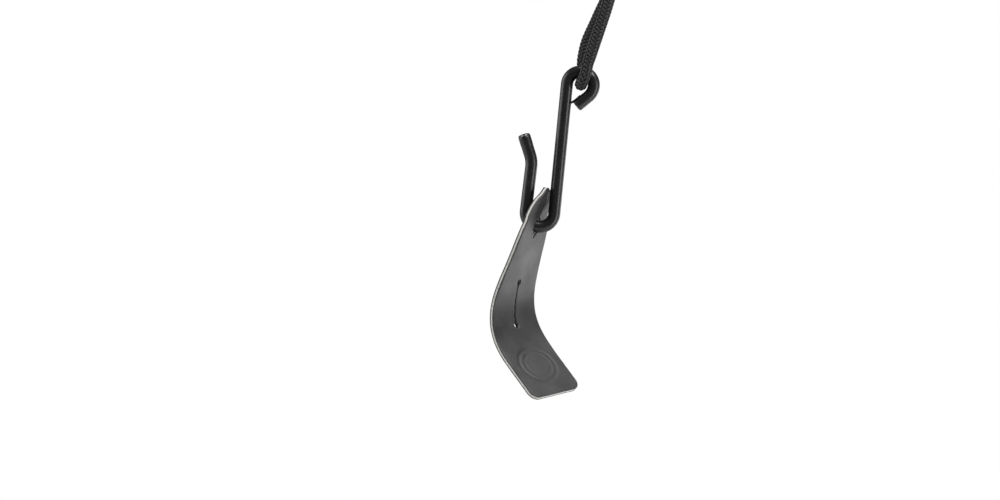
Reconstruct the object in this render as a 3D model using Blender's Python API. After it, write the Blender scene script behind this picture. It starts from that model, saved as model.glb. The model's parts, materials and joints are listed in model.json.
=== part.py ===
"""Neck strap for a woodwind instrument: padded neck band, sliding cord adjuster, coated wire
hook and a bent leather tab that takes the instrument's thumb rest.

Metres, +Z up. The strap hangs as worn. The origin is on the inside of the band at the nape,
the wearer faces -Y, and the hook lies in an XZ plane.
"""

import bmesh
import bpy
import numpy as np

MM = 0.001
GAP = 0.3 * MM
ANY_WAY = (0.3, 0.2, 0.9)  # a direction that no bore or turned piece follows

# Neck band. Right half of the line along the middle of its inner face, nape to end,
# and the way out of the body at each of those points.
BAND_LINE = (
    (0.000, 0.000, 0.000),
    (0.030, -0.007, -0.004),
    (0.055, -0.029, -0.013),
    (0.067, -0.060, -0.031),
    (0.066, -0.091, -0.062),
    (0.057, -0.114, -0.100),
    (0.045, -0.126, -0.135),
    (0.036, -0.131, -0.160),
)
BAND_OUT = (
    (0.00, 0.80, 0.60),
    (0.25, 0.66, 0.66),
    (0.50, 0.36, 0.76),
    (0.60, -0.10, 0.78),
    (0.45, -0.60, 0.64),
    (0.22, -0.90, 0.38),
    (0.08, -0.98, 0.18),
    (0.00, -1.00, 0.10),
)
BAND_STATIONS = 36
BAND_COLUMNS = 5
BAND_END = 0.87  # share of the line from nape to end that the padded part covers
TAB_START = 0.78  # where the end tab starts, on the same line
BAND_HALF_WIDTH = (17.5 * MM, 10.0 * MM)  # at the nape and at the end
LINING = 1.2 * MM
PADDING = (5.0 * MM, 2.0 * MM)  # at the nape and at the end
COVER = 1.8 * MM
BINDING = 1.2 * MM
PADDING_GAP = 0.6 * MM  # the padding is loose between the lining and the cover
END_TAB_HALF_WIDTH = 8.5 * MM
END_TAB_THICK = 2.2 * MM
END_TAB_CORNER = 0.5 * MM
END_TAB_TIP = 2 * MM  # half width at the very end of its round end
END_TAB_LINE = 160 * MM  # length of line per unit of place, near the ends
RIVET_AT = 0.825
RIVET_POST = 1.5 * MM
RIVET_CAP = 4.5 * MM
RIVET_HEIGHT = 1.8 * MM
RIVET_WASHER = 0.8 * MM
EYELET_AT = 0.955
EYELET_BORE = 3.0 * MM
EYELET_FLANGE = 5.4 * MM
EYELET_WALL = 0.6 * MM
EYELET_RIM = 0.7 * MM

# Cords
CORD = 1.95 * MM  # radius
CORD_IN_EYE = 1.75 * MM  # radius where the hook's eye squeezes it
CORD_STEP = 9.0 * MM
CORD_TURN = 5.2 * MM  # radius of the cord's turn through an eyelet
# Lower legs, from the adjuster down to the eye: height above the eye's wire, the near leg's
# and the far leg's place across, and how far apart they are in depth, as a share of the loop.
LEGS = (
    (83.0 * MM, -4.70 * MM, 4.70 * MM, 0.00),
    (62.0 * MM, -2.90 * MM, 2.90 * MM, 0.15),
    (50.0 * MM, -2.05 * MM, 1.90 * MM, 0.35),
    (40.0 * MM, -1.20 * MM, 0.90 * MM, 0.60),
    (30.0 * MM, -0.55 * MM, -0.10 * MM, 0.75),
    (22.0 * MM, 0.00 * MM, -1.05 * MM, 0.85),
    (16.0 * MM, 0.08 * MM, -1.60 * MM, 0.93),
    (10.2 * MM, 0.15 * MM, -2.10 * MM, 1.00),
    (6.2 * MM, 0.22 * MM, -1.75 * MM, 1.00),
)
# The loop below them: height, near side's place across, far side's place across.
LOOP_NECK = ((5.6 * MM, 0.22 * MM, -1.70 * MM), (2.5 * MM, 0.28 * MM, -0.98 * MM))
LOOP_TURN = (0.3 * MM, -0.6 * MM)  # across, where it starts and ends its turn under the wire

# Adjuster: a moulded block that the cords run through
ADJUSTER_Z = -0.240
ADJUSTER_Y = -0.135
ADJUSTER_SIZE = (35 * MM, 10.5 * MM, 14 * MM)
INNER_HOLE_X = 4.7 * MM
OUTER_HOLE_X = 12.2 * MM
ADJUSTER_BORE = 2.8 * MM
ADJUSTER_BEVEL = 1.2 * MM
STOP_RADIUS = 3.3 * MM
STOP_BORE = 2.4 * MM
STOP_LENGTH = 7 * MM

# Hook: one bent wire in a plastic coat. p runs across the shank, q along it, from the centre
# of the bight.
HOOK_LEAN = np.radians(13.9)
HOOK_TOP = (0.0, ADJUSTER_Y, -0.330)  # centre of the wire where the cord hangs
WIRE = 1.25 * MM
COAT_BORE = 1.4 * MM
COAT = 1.85 * MM
BIGHT_RADIUS = 4.45 * MM
PRONG_CLOSE = np.radians(1.3)  # how far the prong leans in towards the shank
PRONG_LENGTH = 13.8 * MM
PRONG_FLARE = np.radians(24)
PRONG_TIP = 6.6 * MM
FLARE_RADIUS = 9 * MM
SHANK_LENGTH = 40.9 * MM
EYE_RADIUS = 4.2 * MM
EYE_RUN_RADIUS = 4.7 * MM
EYE_RUN_TURN = np.radians(45)
EYE_RUN_LENGTH = 4.8 * MM

# Leather tab. s runs down it from the wire.
TAB_AT = (1.38 * MM, ADJUSTER_Y, -380.93 * MM)  # its middle, where the wire passes through
TAB_TOP = -12.7 * MM
TAB_BOTTOM = 58.4 * MM
TAB_HALF_WIDTH = 10.8 * MM
TAB_TAPER_FROM = 6.0 * MM
TAB_TAPER_LENGTH = 19.5 * MM
TAB_CORNER = 3.0 * MM
TAB_THICK = 1.9 * MM
TAB_SKIN = 0.42 * MM
TAB_PLY_GAP = 0.1 * MM
TAB_TIP_UP = (-0.15, -0.10, 0.98)  # way up the top run, clear of the shank
TAB_UPPER_DOWN = (0.034, 0.092, -0.993)
TAB_LOWER_DOWN = (0.665, -0.336, -0.45)
TAB_BEND = (13.7 * MM, 46.2 * MM)
TAB_TIP_ACROSS = (0.12, 0.98, 0.05)
TAB_UPPER_ACROSS = (0.35, 0.913, 0.0)
TAB_LOWER_ACROSS = (0.632, 0.688, 0.317)
TAB_TWIST = (0 * MM, 43.7 * MM)
TAB_STATIONS = 40
TAB_FINE_STEP = 0.1 * MM  # of the sum that turns headings into places
SLIT_TOP = -10.8 * MM
SLIT_HALF_WIDTH = 3.0 * MM
SLIT_BOTTOM = 2.6 * MM
RELIEF_HOLE = 0.9 * MM
THUMB_SLIT = (17.9 * MM, 31.8 * MM)
THUMB_SLIT_HALF_WIDTH = 0.35 * MM
THUMB_HOLE = 1.1 * MM


def unit(v):
    v = np.asarray(v, float)
    return v / np.linalg.norm(v)


def ease(t):
    t = np.clip(t, 0.0, 1.0)
    return t * t * (3 - 2 * t)


def clear_scene():
    for obj in list(bpy.data.objects):
        bpy.data.objects.remove(obj, do_unlink=True)


def material(name, colour, roughness, metallic=0.0):
    found = bpy.data.materials.get(name)
    if found:
        return found
    made = bpy.data.materials.new(name)
    made.use_nodes = True
    shader = made.node_tree.nodes["Principled BSDF"]
    shader.inputs["Base Color"].default_value = (*colour, 1.0)
    shader.inputs["Roughness"].default_value = roughness
    shader.inputs["Metallic"].default_value = metallic
    return made


def leather():
    return material("black_leather", (0.035, 0.034, 0.036), 0.55)


def lining_fabric():
    return material("lining_fabric", (0.05, 0.05, 0.055), 0.9)


def foam():
    return material("padding_foam", (0.25, 0.25, 0.24), 0.95)


def raw_leather():
    return material("raw_leather_core", (0.62, 0.60, 0.57), 0.8)


def nickel():
    return material("nickel_fittings", (0.62, 0.61, 0.58), 0.25, 1.0)


def wire_steel():
    return material("wire_steel", (0.5, 0.5, 0.5), 0.35, 1.0)


def coat_plastic():
    return material("coat_plastic", (0.02, 0.02, 0.021), 0.32)


def moulded_plastic():
    return material("moulded_plastic", (0.025, 0.025, 0.027), 0.45)


def cord_fibre():
    return material("cord_fibre", (0.04, 0.04, 0.042), 0.85)


def mesh_object(name, points, faces, look):
    mesh = bpy.data.meshes.new(name)
    mesh.from_pydata([tuple(p) for p in points], [], faces)
    work = bmesh.new()
    work.from_mesh(mesh)
    bmesh.ops.recalc_face_normals(work, faces=work.faces)
    work.to_mesh(mesh)
    work.free()
    mesh.materials.append(look)
    obj = bpy.data.objects.new(name, mesh)
    bpy.context.scene.collection.objects.link(obj)
    mesh.shade_smooth()
    mesh.set_sharp_from_angle(angle=np.radians(35))
    return obj


def sweep(name, rings, look):
    """A closed solid through rings of equally many points."""
    count = len(rings[0])
    points = [p for ring in rings for p in ring]
    faces = []
    for i in range(len(rings) - 1):
        for j in range(count):
            k = (j + 1) % count
            faces.append((i * count + j, i * count + k, (i + 1) * count + k, (i + 1) * count + j))
    last = (len(rings) - 1) * count
    faces.append(tuple(range(count))[::-1])
    faces.append(tuple(range(last, last + count)))
    return mesh_object(name, points, faces, look)


def hidden(tool):
    """Marks a solid as one that only cuts others."""
    tool.hide_render = True
    tool.display_type = "WIRE"
    return tool


def circle_ring(centre, a, b, radius, count):
    angles = np.arange(count) * 2 * np.pi / count
    return [centre + radius * (np.cos(t) * a + np.sin(t) * b) for t in angles]


def across(axis):
    """Two directions square to an axis and to each other."""
    side = unit(np.cross(axis, ANY_WAY))
    return side, np.cross(axis, side)


def boring_bar(name, start, end, radius):
    """A straight round cutter between two points."""
    side, other = across(unit(end - start))
    rings = [circle_ring(p, side, other, radius, 24) for p in (start, end)]
    return hidden(sweep(name, rings, moulded_plastic()))


def pivot(name, place, parent, pieces):
    """An empty on a joint's axis that carries the pieces which move on it."""
    empty = bpy.data.objects.new(name, None)
    empty.location = place
    empty.empty_display_size = 5 * MM
    bpy.context.scene.collection.objects.link(empty)
    bpy.context.view_layer.update()
    for piece in pieces:
        piece.parent = empty
        piece.matrix_parent_inverse = empty.matrix_world.inverted()
    if parent:
        empty.parent = parent
        empty.matrix_parent_inverse = parent.matrix_world.inverted()
    return empty


def cut(obj, tool):
    modifier = obj.modifiers.new("cut", "BOOLEAN")
    modifier.object = tool
    modifier.operation = "DIFFERENCE"
    modifier.solver = "EXACT"


def revolve(name, centre, axis, profile, look, count=24):
    """A turned solid from (radius, height along the axis) points of a closed outline."""
    axis = unit(axis)
    side, other = across(axis)
    points = []
    for i in range(count):
        t = 2 * np.pi * i / count
        spoke = np.cos(t) * side + np.sin(t) * other
        points += [centre + r * spoke + h * axis for r, h in profile]
    size = len(profile)
    faces = []
    for i in range(count):
        for j in range(size):
            k = (j + 1) % size
            n = (i + 1) % count
            faces.append((i * size + j, i * size + k, n * size + k, n * size + j))
    return mesh_object(name, points, faces, look)


def domed_rivet(name, centre, axis, post_length):
    """A domed cap with a post under it. The cap's flat is at the centre."""
    side, other = across(axis)
    outline = [(RIVET_POST, -post_length), (RIVET_POST, 0.0), (RIVET_CAP, 0.0)]
    for turn in np.radians((15, 35, 55, 75)):
        outline.append((RIVET_CAP * np.cos(turn), RIVET_HEIGHT * np.sin(turn)))
    rings = [circle_ring(centre + h * axis, side, other, r, 18) for r, h in outline]
    return sweep(name, rings, nickel())


# ---- neck band ----


def spline(points, share):
    """The point at this share of a smooth curve through the points."""
    points = np.asarray(points, float)
    spans = len(points) - 1
    at = min(max(share, 0.0), 1.0) * spans
    i = min(int(at), spans - 1)
    t = at - i
    before = points[i - 1] if i else 2 * points[0] - points[1]
    after = points[i + 2] if i + 2 <= spans else 2 * points[-1] - points[-2]
    a, b = points[i], points[i + 1]
    return 0.5 * (
        2 * a
        + (b - before) * t
        + (2 * before - 5 * a + 4 * b - after) * t**2
        + (3 * a - before - 3 * b + after) * t**3
    )


def mirrored(points):
    """Left half and right half of a line that is given from the nape to the right end."""
    left = [(-x, y, z) for x, y, z in points[:0:-1]]
    return left + list(points)


def band_frame(place):
    """Centre, way across, way out at a place from -1 (left end) through 0 (nape) to 1."""
    share = (place + 1) / 2
    line = mirrored(BAND_LINE)
    centre = spline(line, share)
    step = 0.004
    along = unit(spline(line, min(share + step, 1)) - spline(line, max(share - step, 0)))
    out = spline(mirrored(BAND_OUT), share)
    out = unit(out - out.dot(along) * along)
    return centre, np.cross(along, out), out


def band_half_width(place):
    nape, end = BAND_HALF_WIDTH
    return nape + (end - nape) * ease(abs(place))


def padding_depth(place):
    nape, end = PADDING
    return nape + (end - nape) * ease(abs(place))


def layer_ring(place, half, low, high, round_by):
    """A cross-section with its outer corners eased."""
    centre, side, out = band_frame(place)
    first, last = -half, half
    columns = np.linspace(first, last, BAND_COLUMNS)
    outline = [(u, low) for u in columns]
    outline.append((last, high - round_by))
    outline.append((last - round_by, high))
    outline += [(u, high) for u in columns[-2:0:-1]]
    outline.append((first + round_by, high))
    outline.append((first, high - round_by))
    return [centre + u * side + v * out for u, v in outline]


def band_layer(name, low, high, inset, round_by, look):
    """One full-width layer of the band. low and high give its two faces at a place."""
    rings = []
    for place in np.linspace(-BAND_END, BAND_END, BAND_STATIONS):
        half = band_half_width(place) - inset
        rings.append(layer_ring(place, half, low(place), high(place), round_by))
    return sweep(name, rings, look)


def lining_low(place):
    return 0.0


def lining_high(place):
    return LINING


def padding_low(place):
    return lining_high(place) + PADDING_GAP


def padding_high(place):
    return padding_low(place) + padding_depth(place)


def cover_low(place):
    return padding_high(place) + PADDING_GAP


def cover_high(place):
    return cover_low(place) + COVER


def end_tab_low():
    """How far the end tab's inner face is from the line of the band's inner face."""
    return cover_high(BAND_END) + GAP


def binding(name, side_sign):
    """The strip that closes one long edge of the band."""
    rings = []
    for place in np.linspace(-BAND_END, BAND_END, BAND_STATIONS):
        centre, side, out = band_frame(place)
        inner = side_sign * (band_half_width(place) + GAP)
        outer = inner + side_sign * BINDING
        top = cover_high(place)
        outline = ((inner, 0.0), (outer, 0.3 * MM), (outer, top - 0.3 * MM), (inner, top))
        rings.append([centre + u * side + v * out for u, v in outline])
    return sweep(name, rings, leather())


def end_tab_places():
    """Places down the end tab, closer together where its end is round."""
    return [*np.linspace(TAB_START, 0.955, 9), 0.965, 0.975, 0.985, 0.993, 1.0]


def end_tab(name, side):
    """A leather tab riveted to the outside of one end of the band."""
    low, high = end_tab_low(), end_tab_low() + END_TAB_THICK
    corner = END_TAB_CORNER
    rings = []
    for place in end_tab_places():
        centre, sideways, out = band_frame(side * place)
        room = (1.0 - place) * END_TAB_LINE
        half = END_TAB_HALF_WIDTH
        if room < half:
            half = np.sqrt(max(half**2 - (half - room) ** 2, END_TAB_TIP**2))
        outline = (
            (-half + corner, low),
            (half - corner, low),
            (half, low + corner),
            (half, high - corner),
            (half - corner, high),
            (-half + corner, high),
            (-half, high - corner),
            (-half, low + corner),
        )
        rings.append([centre + u * sideways + v * out for u, v in outline])
    return sweep(name, rings, leather())


def drill(name, place, radius, targets):
    """A round hole through everything at one place of the band."""
    centre, _, out = band_frame(place)
    tool = boring_bar(name, centre - 4 * MM * out, centre + 16 * MM * out, radius)
    for target in targets:
        cut(target, tool)


def rivet(label, side, layers):
    place = side * RIVET_AT
    centre, _, out = band_frame(place)
    top = end_tab_low() + END_TAB_THICK + GAP
    post = top + RIVET_WASHER / 2
    drill("cutter_rivet_" + label, place, RIVET_POST + GAP, layers)
    domed_rivet("rivet_" + label, centre + top * out, out, post)
    ring = (
        (RIVET_POST + GAP, -GAP - RIVET_WASHER),
        (RIVET_CAP, -GAP - RIVET_WASHER),
        (RIVET_CAP, -GAP - 0.2 * MM),
        (RIVET_CAP - 0.4 * MM, -GAP),
        (RIVET_POST + GAP, -GAP),
    )
    revolve("rivet_washer_" + label, centre, out, ring, nickel(), 18)


def eyelet(label, side, tab):
    place = side * EYELET_AT
    centre, _, out = band_frame(place)
    low = end_tab_low() - GAP
    high = end_tab_low() + END_TAB_THICK + GAP
    wall = EYELET_BORE + EYELET_WALL
    drill("cutter_eyelet_" + label, place, wall + GAP, [tab])
    barrel = (
        (EYELET_BORE, low - 0.2 * MM),
        (wall, low - 0.2 * MM),
        (wall, high),
        (EYELET_FLANGE, high),
        (EYELET_FLANGE - 0.3 * MM, high + EYELET_RIM * 0.7),
        (wall, high + EYELET_RIM),
        (EYELET_BORE + 0.2 * MM, high + EYELET_RIM * 0.7),
        (EYELET_BORE, high),
    )
    revolve("eyelet_" + label, centre, out, barrel, nickel())
    washer = (
        (wall + 0.1 * MM, low - EYELET_RIM),
        (EYELET_FLANGE - 0.3 * MM, low - EYELET_RIM * 0.8),
        (EYELET_FLANGE, low),
        (wall + 0.1 * MM, low),
    )
    revolve("eyelet_washer_" + label, centre, out, washer, nickel())


def build_band():
    cover = band_layer("band_cover", cover_low, cover_high, 0.0, 0.4 * MM, leather())
    padding = band_layer("band_padding", padding_low, padding_high, 0.4 * MM, 0.4 * MM, foam())
    lining = band_layer("band_lining", lining_low, lining_high, 0.0, 0.2 * MM, lining_fabric())
    binding("binding_upper", 1)
    binding("binding_lower", -1)
    for label, side in (("left", -1), ("right", 1)):
        tab = end_tab("end_tab_" + label, side)
        rivet(label, side, [tab, cover, padding, lining])
        eyelet(label, side, tab)


# ---- cords and adjuster ----


def smooth_route(points, step):
    """Evenly spaced points of a smooth curve through the route."""
    fine = np.array([spline(points, t) for t in np.linspace(0, 1, 60 * len(points))])
    lengths = np.concatenate([[0], np.cumsum(np.linalg.norm(np.diff(fine, axis=0), axis=1))])
    count = max(2, int(round(lengths[-1] / step)) + 1)
    wanted = np.linspace(0, lengths[-1], count)
    return np.stack([np.interp(wanted, lengths, fine[:, i]) for i in range(3)], axis=1)


def cord(name, points, radii=None):
    """A round cord along a line. radii has one radius a point, where it isn't CORD."""
    curve = bpy.data.curves.new(name, "CURVE")
    curve.dimensions = "3D"
    curve.bevel_depth = CORD
    curve.bevel_resolution = 2
    curve.use_fill_caps = True
    curve.twist_mode = "MINIMUM"
    line = curve.splines.new("POLY")
    line.points.add(len(points) - 1)
    for at, point in zip(line.points, points):
        at.co = (*point, 1.0)
    for at, radius in zip(line.points, radii or ()):
        at.radius = radius / CORD
    curve.materials.append(cord_fibre())
    obj = bpy.data.objects.new(name, curve)
    bpy.context.scene.collection.objects.link(obj)
    return obj


def turn_points(centre, toward, side, radius, turns):
    """Points of an arc around a centre, at these angles from side to toward."""
    return [centre + radius * (np.cos(t) * side + np.sin(t) * toward) for t in np.radians(turns)]


def upper_cord(name, side):
    """From the stop up through the outer hole, round the eyelet and back to the inner hole."""
    centre, _, out = band_frame(side * EYELET_AT)
    hole = centre + (end_tab_low() + END_TAB_THICK / 2) * out
    adjuster = np.array((0.0, ADJUSTER_Y, ADJUSTER_Z))
    outer = adjuster + (side * OUTER_HOLE_X, 0, 0)
    inner = adjuster + (side * INNER_HOLE_X, 0, 0)
    middle = adjuster + (side * 8 * MM, 0, 8 * MM)
    down = unit(middle - hole)
    down = unit(down - down.dot(out) * out)
    pivot = hole + CORD_TURN * down
    block = ADJUSTER_SIZE[2] / 2
    up = np.array((0.0, 0.0, 1.0))
    start = outer - (block + STOP_LENGTH - 1 * MM) * up
    lead = 7 * MM
    turn = turn_points(pivot, -down, -out, CORD_TURN, (0, 30, 60, 90, 120, 150, 180))
    runs = []
    for bore, far in ((outer, turn[0]), (inner, turn[-1])):
        above = bore + (block + lead) * up + 0.06 * (far - bore) * (1, 1, 0)
        halfway = bore * 0.5 + far * 0.5 + (block + lead) / 2 * up
        low = start if bore is outer else inner + GAP * up
        route = [low, bore + (block - 2 * MM) * up, bore + block * up, above, halfway, far]
        runs.append(smooth_route(route, CORD_STEP))
    return cord(name, [*runs[0][:-1], *turn, *runs[1][-2::-1]])


def loop_radius():
    """From the middle of the eye's wire to the middle of the cord that turns round it."""
    return COAT + CORD_IN_EYE + GAP


def lower_route(side):
    """One leg of the lower loop, from the adjuster to just above the hook's eye. The near leg,
    towards -Y, has side -1."""
    adjuster = np.array((side * INNER_HOLE_X, ADJUSTER_Y, ADJUSTER_Z))
    route = [adjuster + (0, 0, -0.5 * MM)]
    for height, near, far, apart in LEGS:
        place = (near if side < 0 else far, side * apart * loop_radius(), height)
        route.append(np.array(HOOK_TOP) + place)
    return route


def loop_end():
    """The turn of the cord under the top of the hook's eye."""
    top = np.array(HOOK_TOP)
    radius = loop_radius()
    near, far = [], []
    for height, near_x, far_x in LOOP_NECK:
        near.append(top + (near_x, -radius, height))
        far.append(top + (far_x, radius, height))
    first, last = LOOP_TURN
    arc = []
    for turn in np.radians(np.arange(0, 181, 22.5)):
        x = (first + last) / 2 + (first - last) / 2 * np.cos(turn)
        arc.append(top + (x, -radius * np.cos(turn), -radius * np.sin(turn)))
    neck = [CORD, (CORD + CORD_IN_EYE) / 2]
    radii = [*neck, *[CORD_IN_EYE] * len(arc), *neck[::-1]]
    return cord("cord_loop_end", [*near, *arc, *far[::-1]], radii)


def adjuster_outline(inset):
    """Its rounded plan, brought in by inset."""
    width, depth, _ = ADJUSTER_SIZE
    corner = depth / 2
    outline = []
    for sign in (1, -1):
        for turn in np.radians(np.linspace(-90, 90, 9)):
            x = sign * (width / 2 - corner + corner * np.cos(turn))
            y = sign * corner * np.sin(turn)
            outline.append((x - np.sign(x) * inset / 2, y * (1 - inset / corner)))
    return outline


def adjuster_body():
    """A rounded block with four bores."""
    height = ADJUSTER_SIZE[2]
    middle = np.array((0.0, ADJUSTER_Y, ADJUSTER_Z))
    edge = height / 2 - ADJUSTER_BEVEL
    rings = []
    for level, inset in ((-height / 2, ADJUSTER_BEVEL), (-edge, 0.0), (edge, 0.0),
                         (height / 2, ADJUSTER_BEVEL)):
        rings.append([middle + (x, y, level) for x, y in adjuster_outline(inset)])
    pieces = [sweep("adjuster_body", rings, moulded_plastic())]
    bores = (-OUTER_HOLE_X, -INNER_HOLE_X, INNER_HOLE_X, OUTER_HOLE_X)
    for number, x in enumerate(bores, 1):
        low, high = middle + (x, 0, -height), middle + (x, 0, height)
        pieces.append(boring_bar(f"cutter_bore_{number}", low, high, ADJUSTER_BORE))
        cut(pieces[0], pieces[-1])
    return pieces


def cord_stop(name, side):
    """The ferrule that keeps one cord end below the adjuster."""
    top = np.array((side * OUTER_HOLE_X, ADJUSTER_Y, ADJUSTER_Z - ADJUSTER_SIZE[2] / 2 - GAP))
    ring = (
        (STOP_BORE, -STOP_LENGTH),
        (STOP_RADIUS - 0.4 * MM, -STOP_LENGTH),
        (STOP_RADIUS, -STOP_LENGTH + 0.5 * MM),
        (STOP_RADIUS, -0.5 * MM),
        (STOP_RADIUS - 0.4 * MM, 0.0),
        (STOP_BORE, 0.0),
    )
    return revolve(name, top, (0, 0, 1), ring, nickel(), 18)


def build_cords():
    """The cords and the adjuster, with the empties of the adjuster and of the cord's loop."""
    sliding = adjuster_body()
    for label, side in (("left", -1), ("right", 1)):
        sliding.append(cord_stop("cord_stop_" + label, side))
        upper_cord("upper_cord_" + label, side)
        sliding.append(cord("lower_cord_" + label, smooth_route(lower_route(side), CORD_STEP)))
    adjuster = pivot("adjuster_slide", (0, ADJUSTER_Y, ADJUSTER_Z), None, sliding)
    return pivot("hook_drop", HOOK_TOP, adjuster, [loop_end()])


# ---- hook ----


def hook_outline(step):
    """The wire's centre line as (p, q), prong tip to the end of the eye."""
    path = []

    def straight(start, end):
        count = max(2, int(np.linalg.norm(np.subtract(end, start)) / step))
        for t in np.linspace(0, 1, count, endpoint=False):
            path.append(np.add(start, t * np.subtract(end, start)))

    def arc(centre, radius, first, last):
        count = max(3, int(abs(last - first) * radius / (step * 0.35)))
        for t in np.linspace(first, last, count, endpoint=False):
            path.append(np.add(centre, (radius * np.cos(t), radius * np.sin(t))))

    flare_centre = np.array((-BIGHT_RADIUS - FLARE_RADIUS, PRONG_LENGTH))
    bend_top = flare_centre + FLARE_RADIUS * np.array((np.cos(PRONG_FLARE), np.sin(PRONG_FLARE)))
    away = np.array((-np.sin(PRONG_FLARE), np.cos(PRONG_FLARE)))
    straight(bend_top + PRONG_TIP * away, bend_top)
    arc(flare_centre, FLARE_RADIUS, PRONG_FLARE, 0.0)
    straight((-BIGHT_RADIUS, PRONG_LENGTH), (-BIGHT_RADIUS, 0.0))
    lean, rise = np.sin(PRONG_CLOSE), np.cos(PRONG_CLOSE)
    path[:] = [np.array((u * rise + v * lean, v * rise - u * lean)) for u, v in path]
    arc((0.0, 0.0), BIGHT_RADIUS, np.pi - PRONG_CLOSE, 2 * np.pi)
    straight((BIGHT_RADIUS, 0.0), (BIGHT_RADIUS, SHANK_LENGTH))
    eye = np.array((BIGHT_RADIUS + EYE_RADIUS, SHANK_LENGTH))
    arc(eye, EYE_RADIUS, np.pi, 0.0)
    run = np.array((eye[0] + EYE_RADIUS - EYE_RUN_RADIUS, SHANK_LENGTH))
    arc(run, EYE_RUN_RADIUS, 0.0, -EYE_RUN_TURN)
    start = run + EYE_RUN_RADIUS * np.array((np.cos(EYE_RUN_TURN), -np.sin(EYE_RUN_TURN)))
    heading = np.array((-np.sin(EYE_RUN_TURN), -np.cos(EYE_RUN_TURN)))
    straight(start, start + EYE_RUN_LENGTH * heading)
    path.append(start + EYE_RUN_LENGTH * heading)
    return path


def hook_axes():
    p = np.array((np.cos(HOOK_LEAN), 0.0, np.sin(HOOK_LEAN)))
    q = np.array((-np.sin(HOOK_LEAN), 0.0, np.cos(HOOK_LEAN)))
    return p, q


def eye_centre():
    return np.array(HOOK_TOP) - (0, 0, EYE_RADIUS)


def bight_centre():
    p, q = hook_axes()
    return eye_centre() - (BIGHT_RADIUS + EYE_RADIUS) * p - SHANK_LENGTH * q


def wire_rest():
    """The wire's centre at the bottom of the bight, where the leather tab hangs."""
    _, q = hook_axes()
    return bight_centre() - BIGHT_RADIUS * q


def wire_frames(step):
    p, q = hook_axes()
    line = [bight_centre() + u * p + v * q for u, v in hook_outline(step)]
    depth = np.array((0.0, 1.0, 0.0))
    frames = []
    for i, point in enumerate(line):
        before = line[max(i - 1, 0)]
        after = line[min(i + 1, len(line) - 1)]
        along = unit(after - before)
        frames.append((point, along, np.cross(along, depth), depth))
    return frames


def build_hook(hanger):
    frames = wire_frames(4 * MM)
    rings = [circle_ring(c, a, b, WIRE, 10) for c, _, a, b in frames]
    wire = sweep("hook_wire", rings, wire_steel())
    tip, along, a, b = frames[0]
    outer = []
    for turn in np.radians((75, 45, 15)):
        back = tip - (COAT * np.sin(turn) + 0.4 * MM) * along
        outer.append(circle_ring(back, a, b, COAT * np.cos(turn), 14))
    outer += [circle_ring(c, a, b, COAT, 14) for c, _, a, b in frames]
    bore = [circle_ring(c, a, b, COAT_BORE, 14) for c, _, a, b in frames[::-1]]
    bore.append(circle_ring(tip - 0.2 * MM * along, a, b, COAT_BORE, 14))
    coat = sweep("hook_coat", outer + bore, coat_plastic())
    return pivot("hook_swing", eye_centre(), hanger, [wire, coat])


# ---- leather tab ----


def blend_unit(a, b, t):
    return unit(unit(a) * (1 - t) + unit(b) * t)


def tab_heading(s):
    if s < 0:
        return blend_unit(TAB_UPPER_DOWN, np.negative(TAB_TIP_UP), ease(-s / (3 * MM)))
    first, last = TAB_BEND
    return blend_unit(TAB_UPPER_DOWN, TAB_LOWER_DOWN, ease((s - first) / (last - first)))


def tab_across(s):
    if s < 0:
        return blend_unit(TAB_UPPER_ACROSS, TAB_TIP_ACROSS, s / TAB_TOP)
    first, last = TAB_TWIST
    return blend_unit(TAB_UPPER_ACROSS, TAB_LOWER_ACROSS, ease((s - first) / (last - first)))


def tab_frames():
    """(s, centre, sideways, out) down the tab, which is placed by its s = 0 at the wire."""
    stations = np.linspace(TAB_TOP, TAB_BOTTOM, TAB_STATIONS)
    fine = np.arange(TAB_TOP, TAB_BOTTOM + 1 * MM, TAB_FINE_STEP)
    headings = np.array([tab_heading(s) for s in fine])
    line = np.concatenate([[np.zeros(3)], np.cumsum(headings[:-1] * TAB_FINE_STEP, axis=0)])
    origin = np.array([np.interp(0.0, fine, line[:, i]) for i in range(3)])
    line = line - origin + TAB_AT
    frames = []
    for s in corner_stations(stations):
        centre = np.array([np.interp(s, fine, line[:, i]) for i in range(3)])
        heading = tab_heading(s)
        sideways = tab_across(s)
        sideways = unit(sideways - sideways.dot(heading) * heading)
        frames.append((s, centre, sideways, np.cross(heading, sideways)))
    return frames


def corner_stations(stations):
    """The stations, with those in the rounded bottom corners spaced by angle."""
    start = TAB_BOTTOM - TAB_CORNER
    straight = [s for s in stations if s < start - 0.5 * MM]
    corner = [start + TAB_CORNER * np.sin(t) for t in np.radians((0, 20, 40, 60, 78, 90))]
    return straight + corner


def tab_half_width(s):
    half = TAB_HALF_WIDTH
    if s < TAB_TAPER_FROM:
        u = (TAB_TAPER_FROM - s) / TAB_TAPER_LENGTH
        half *= (1 - min(u, 0.99) ** 1.6) ** 0.6
    into = s - (TAB_BOTTOM - TAB_CORNER)
    if into > 0:
        half -= TAB_CORNER - np.sqrt(max(TAB_CORNER**2 - into**2, 0.0))
    return half


def tab_ply(name, low, high, look):
    rings = []
    for s, centre, sideways, out in tab_frames():
        half = tab_half_width(s)
        outline = []
        for level, spots in ((low, (-1, -0.5, 0, 0.5, 1)), (high, (1, 0.5, 0, -0.5, -1))):
            outline += [centre + half * u * sideways + level * out for u in spots]
        rings.append(outline)
    return sweep(name, rings, look)


def frame_at(s):
    return min(tab_frames(), key=lambda frame: abs(frame[0] - s))


def tab_cutter(name, s, outline):
    """A prism through the leather at s, from (down, across) points."""
    place, centre, sideways, out = frame_at(s)
    down = np.cross(sideways, out)
    rings = []
    for level in (-4 * MM, 4 * MM):
        rings.append(
            [centre + (u - place) * down + v * sideways + level * out for u, v in outline]
        )
    return hidden(sweep(name, rings, moulded_plastic()))


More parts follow.
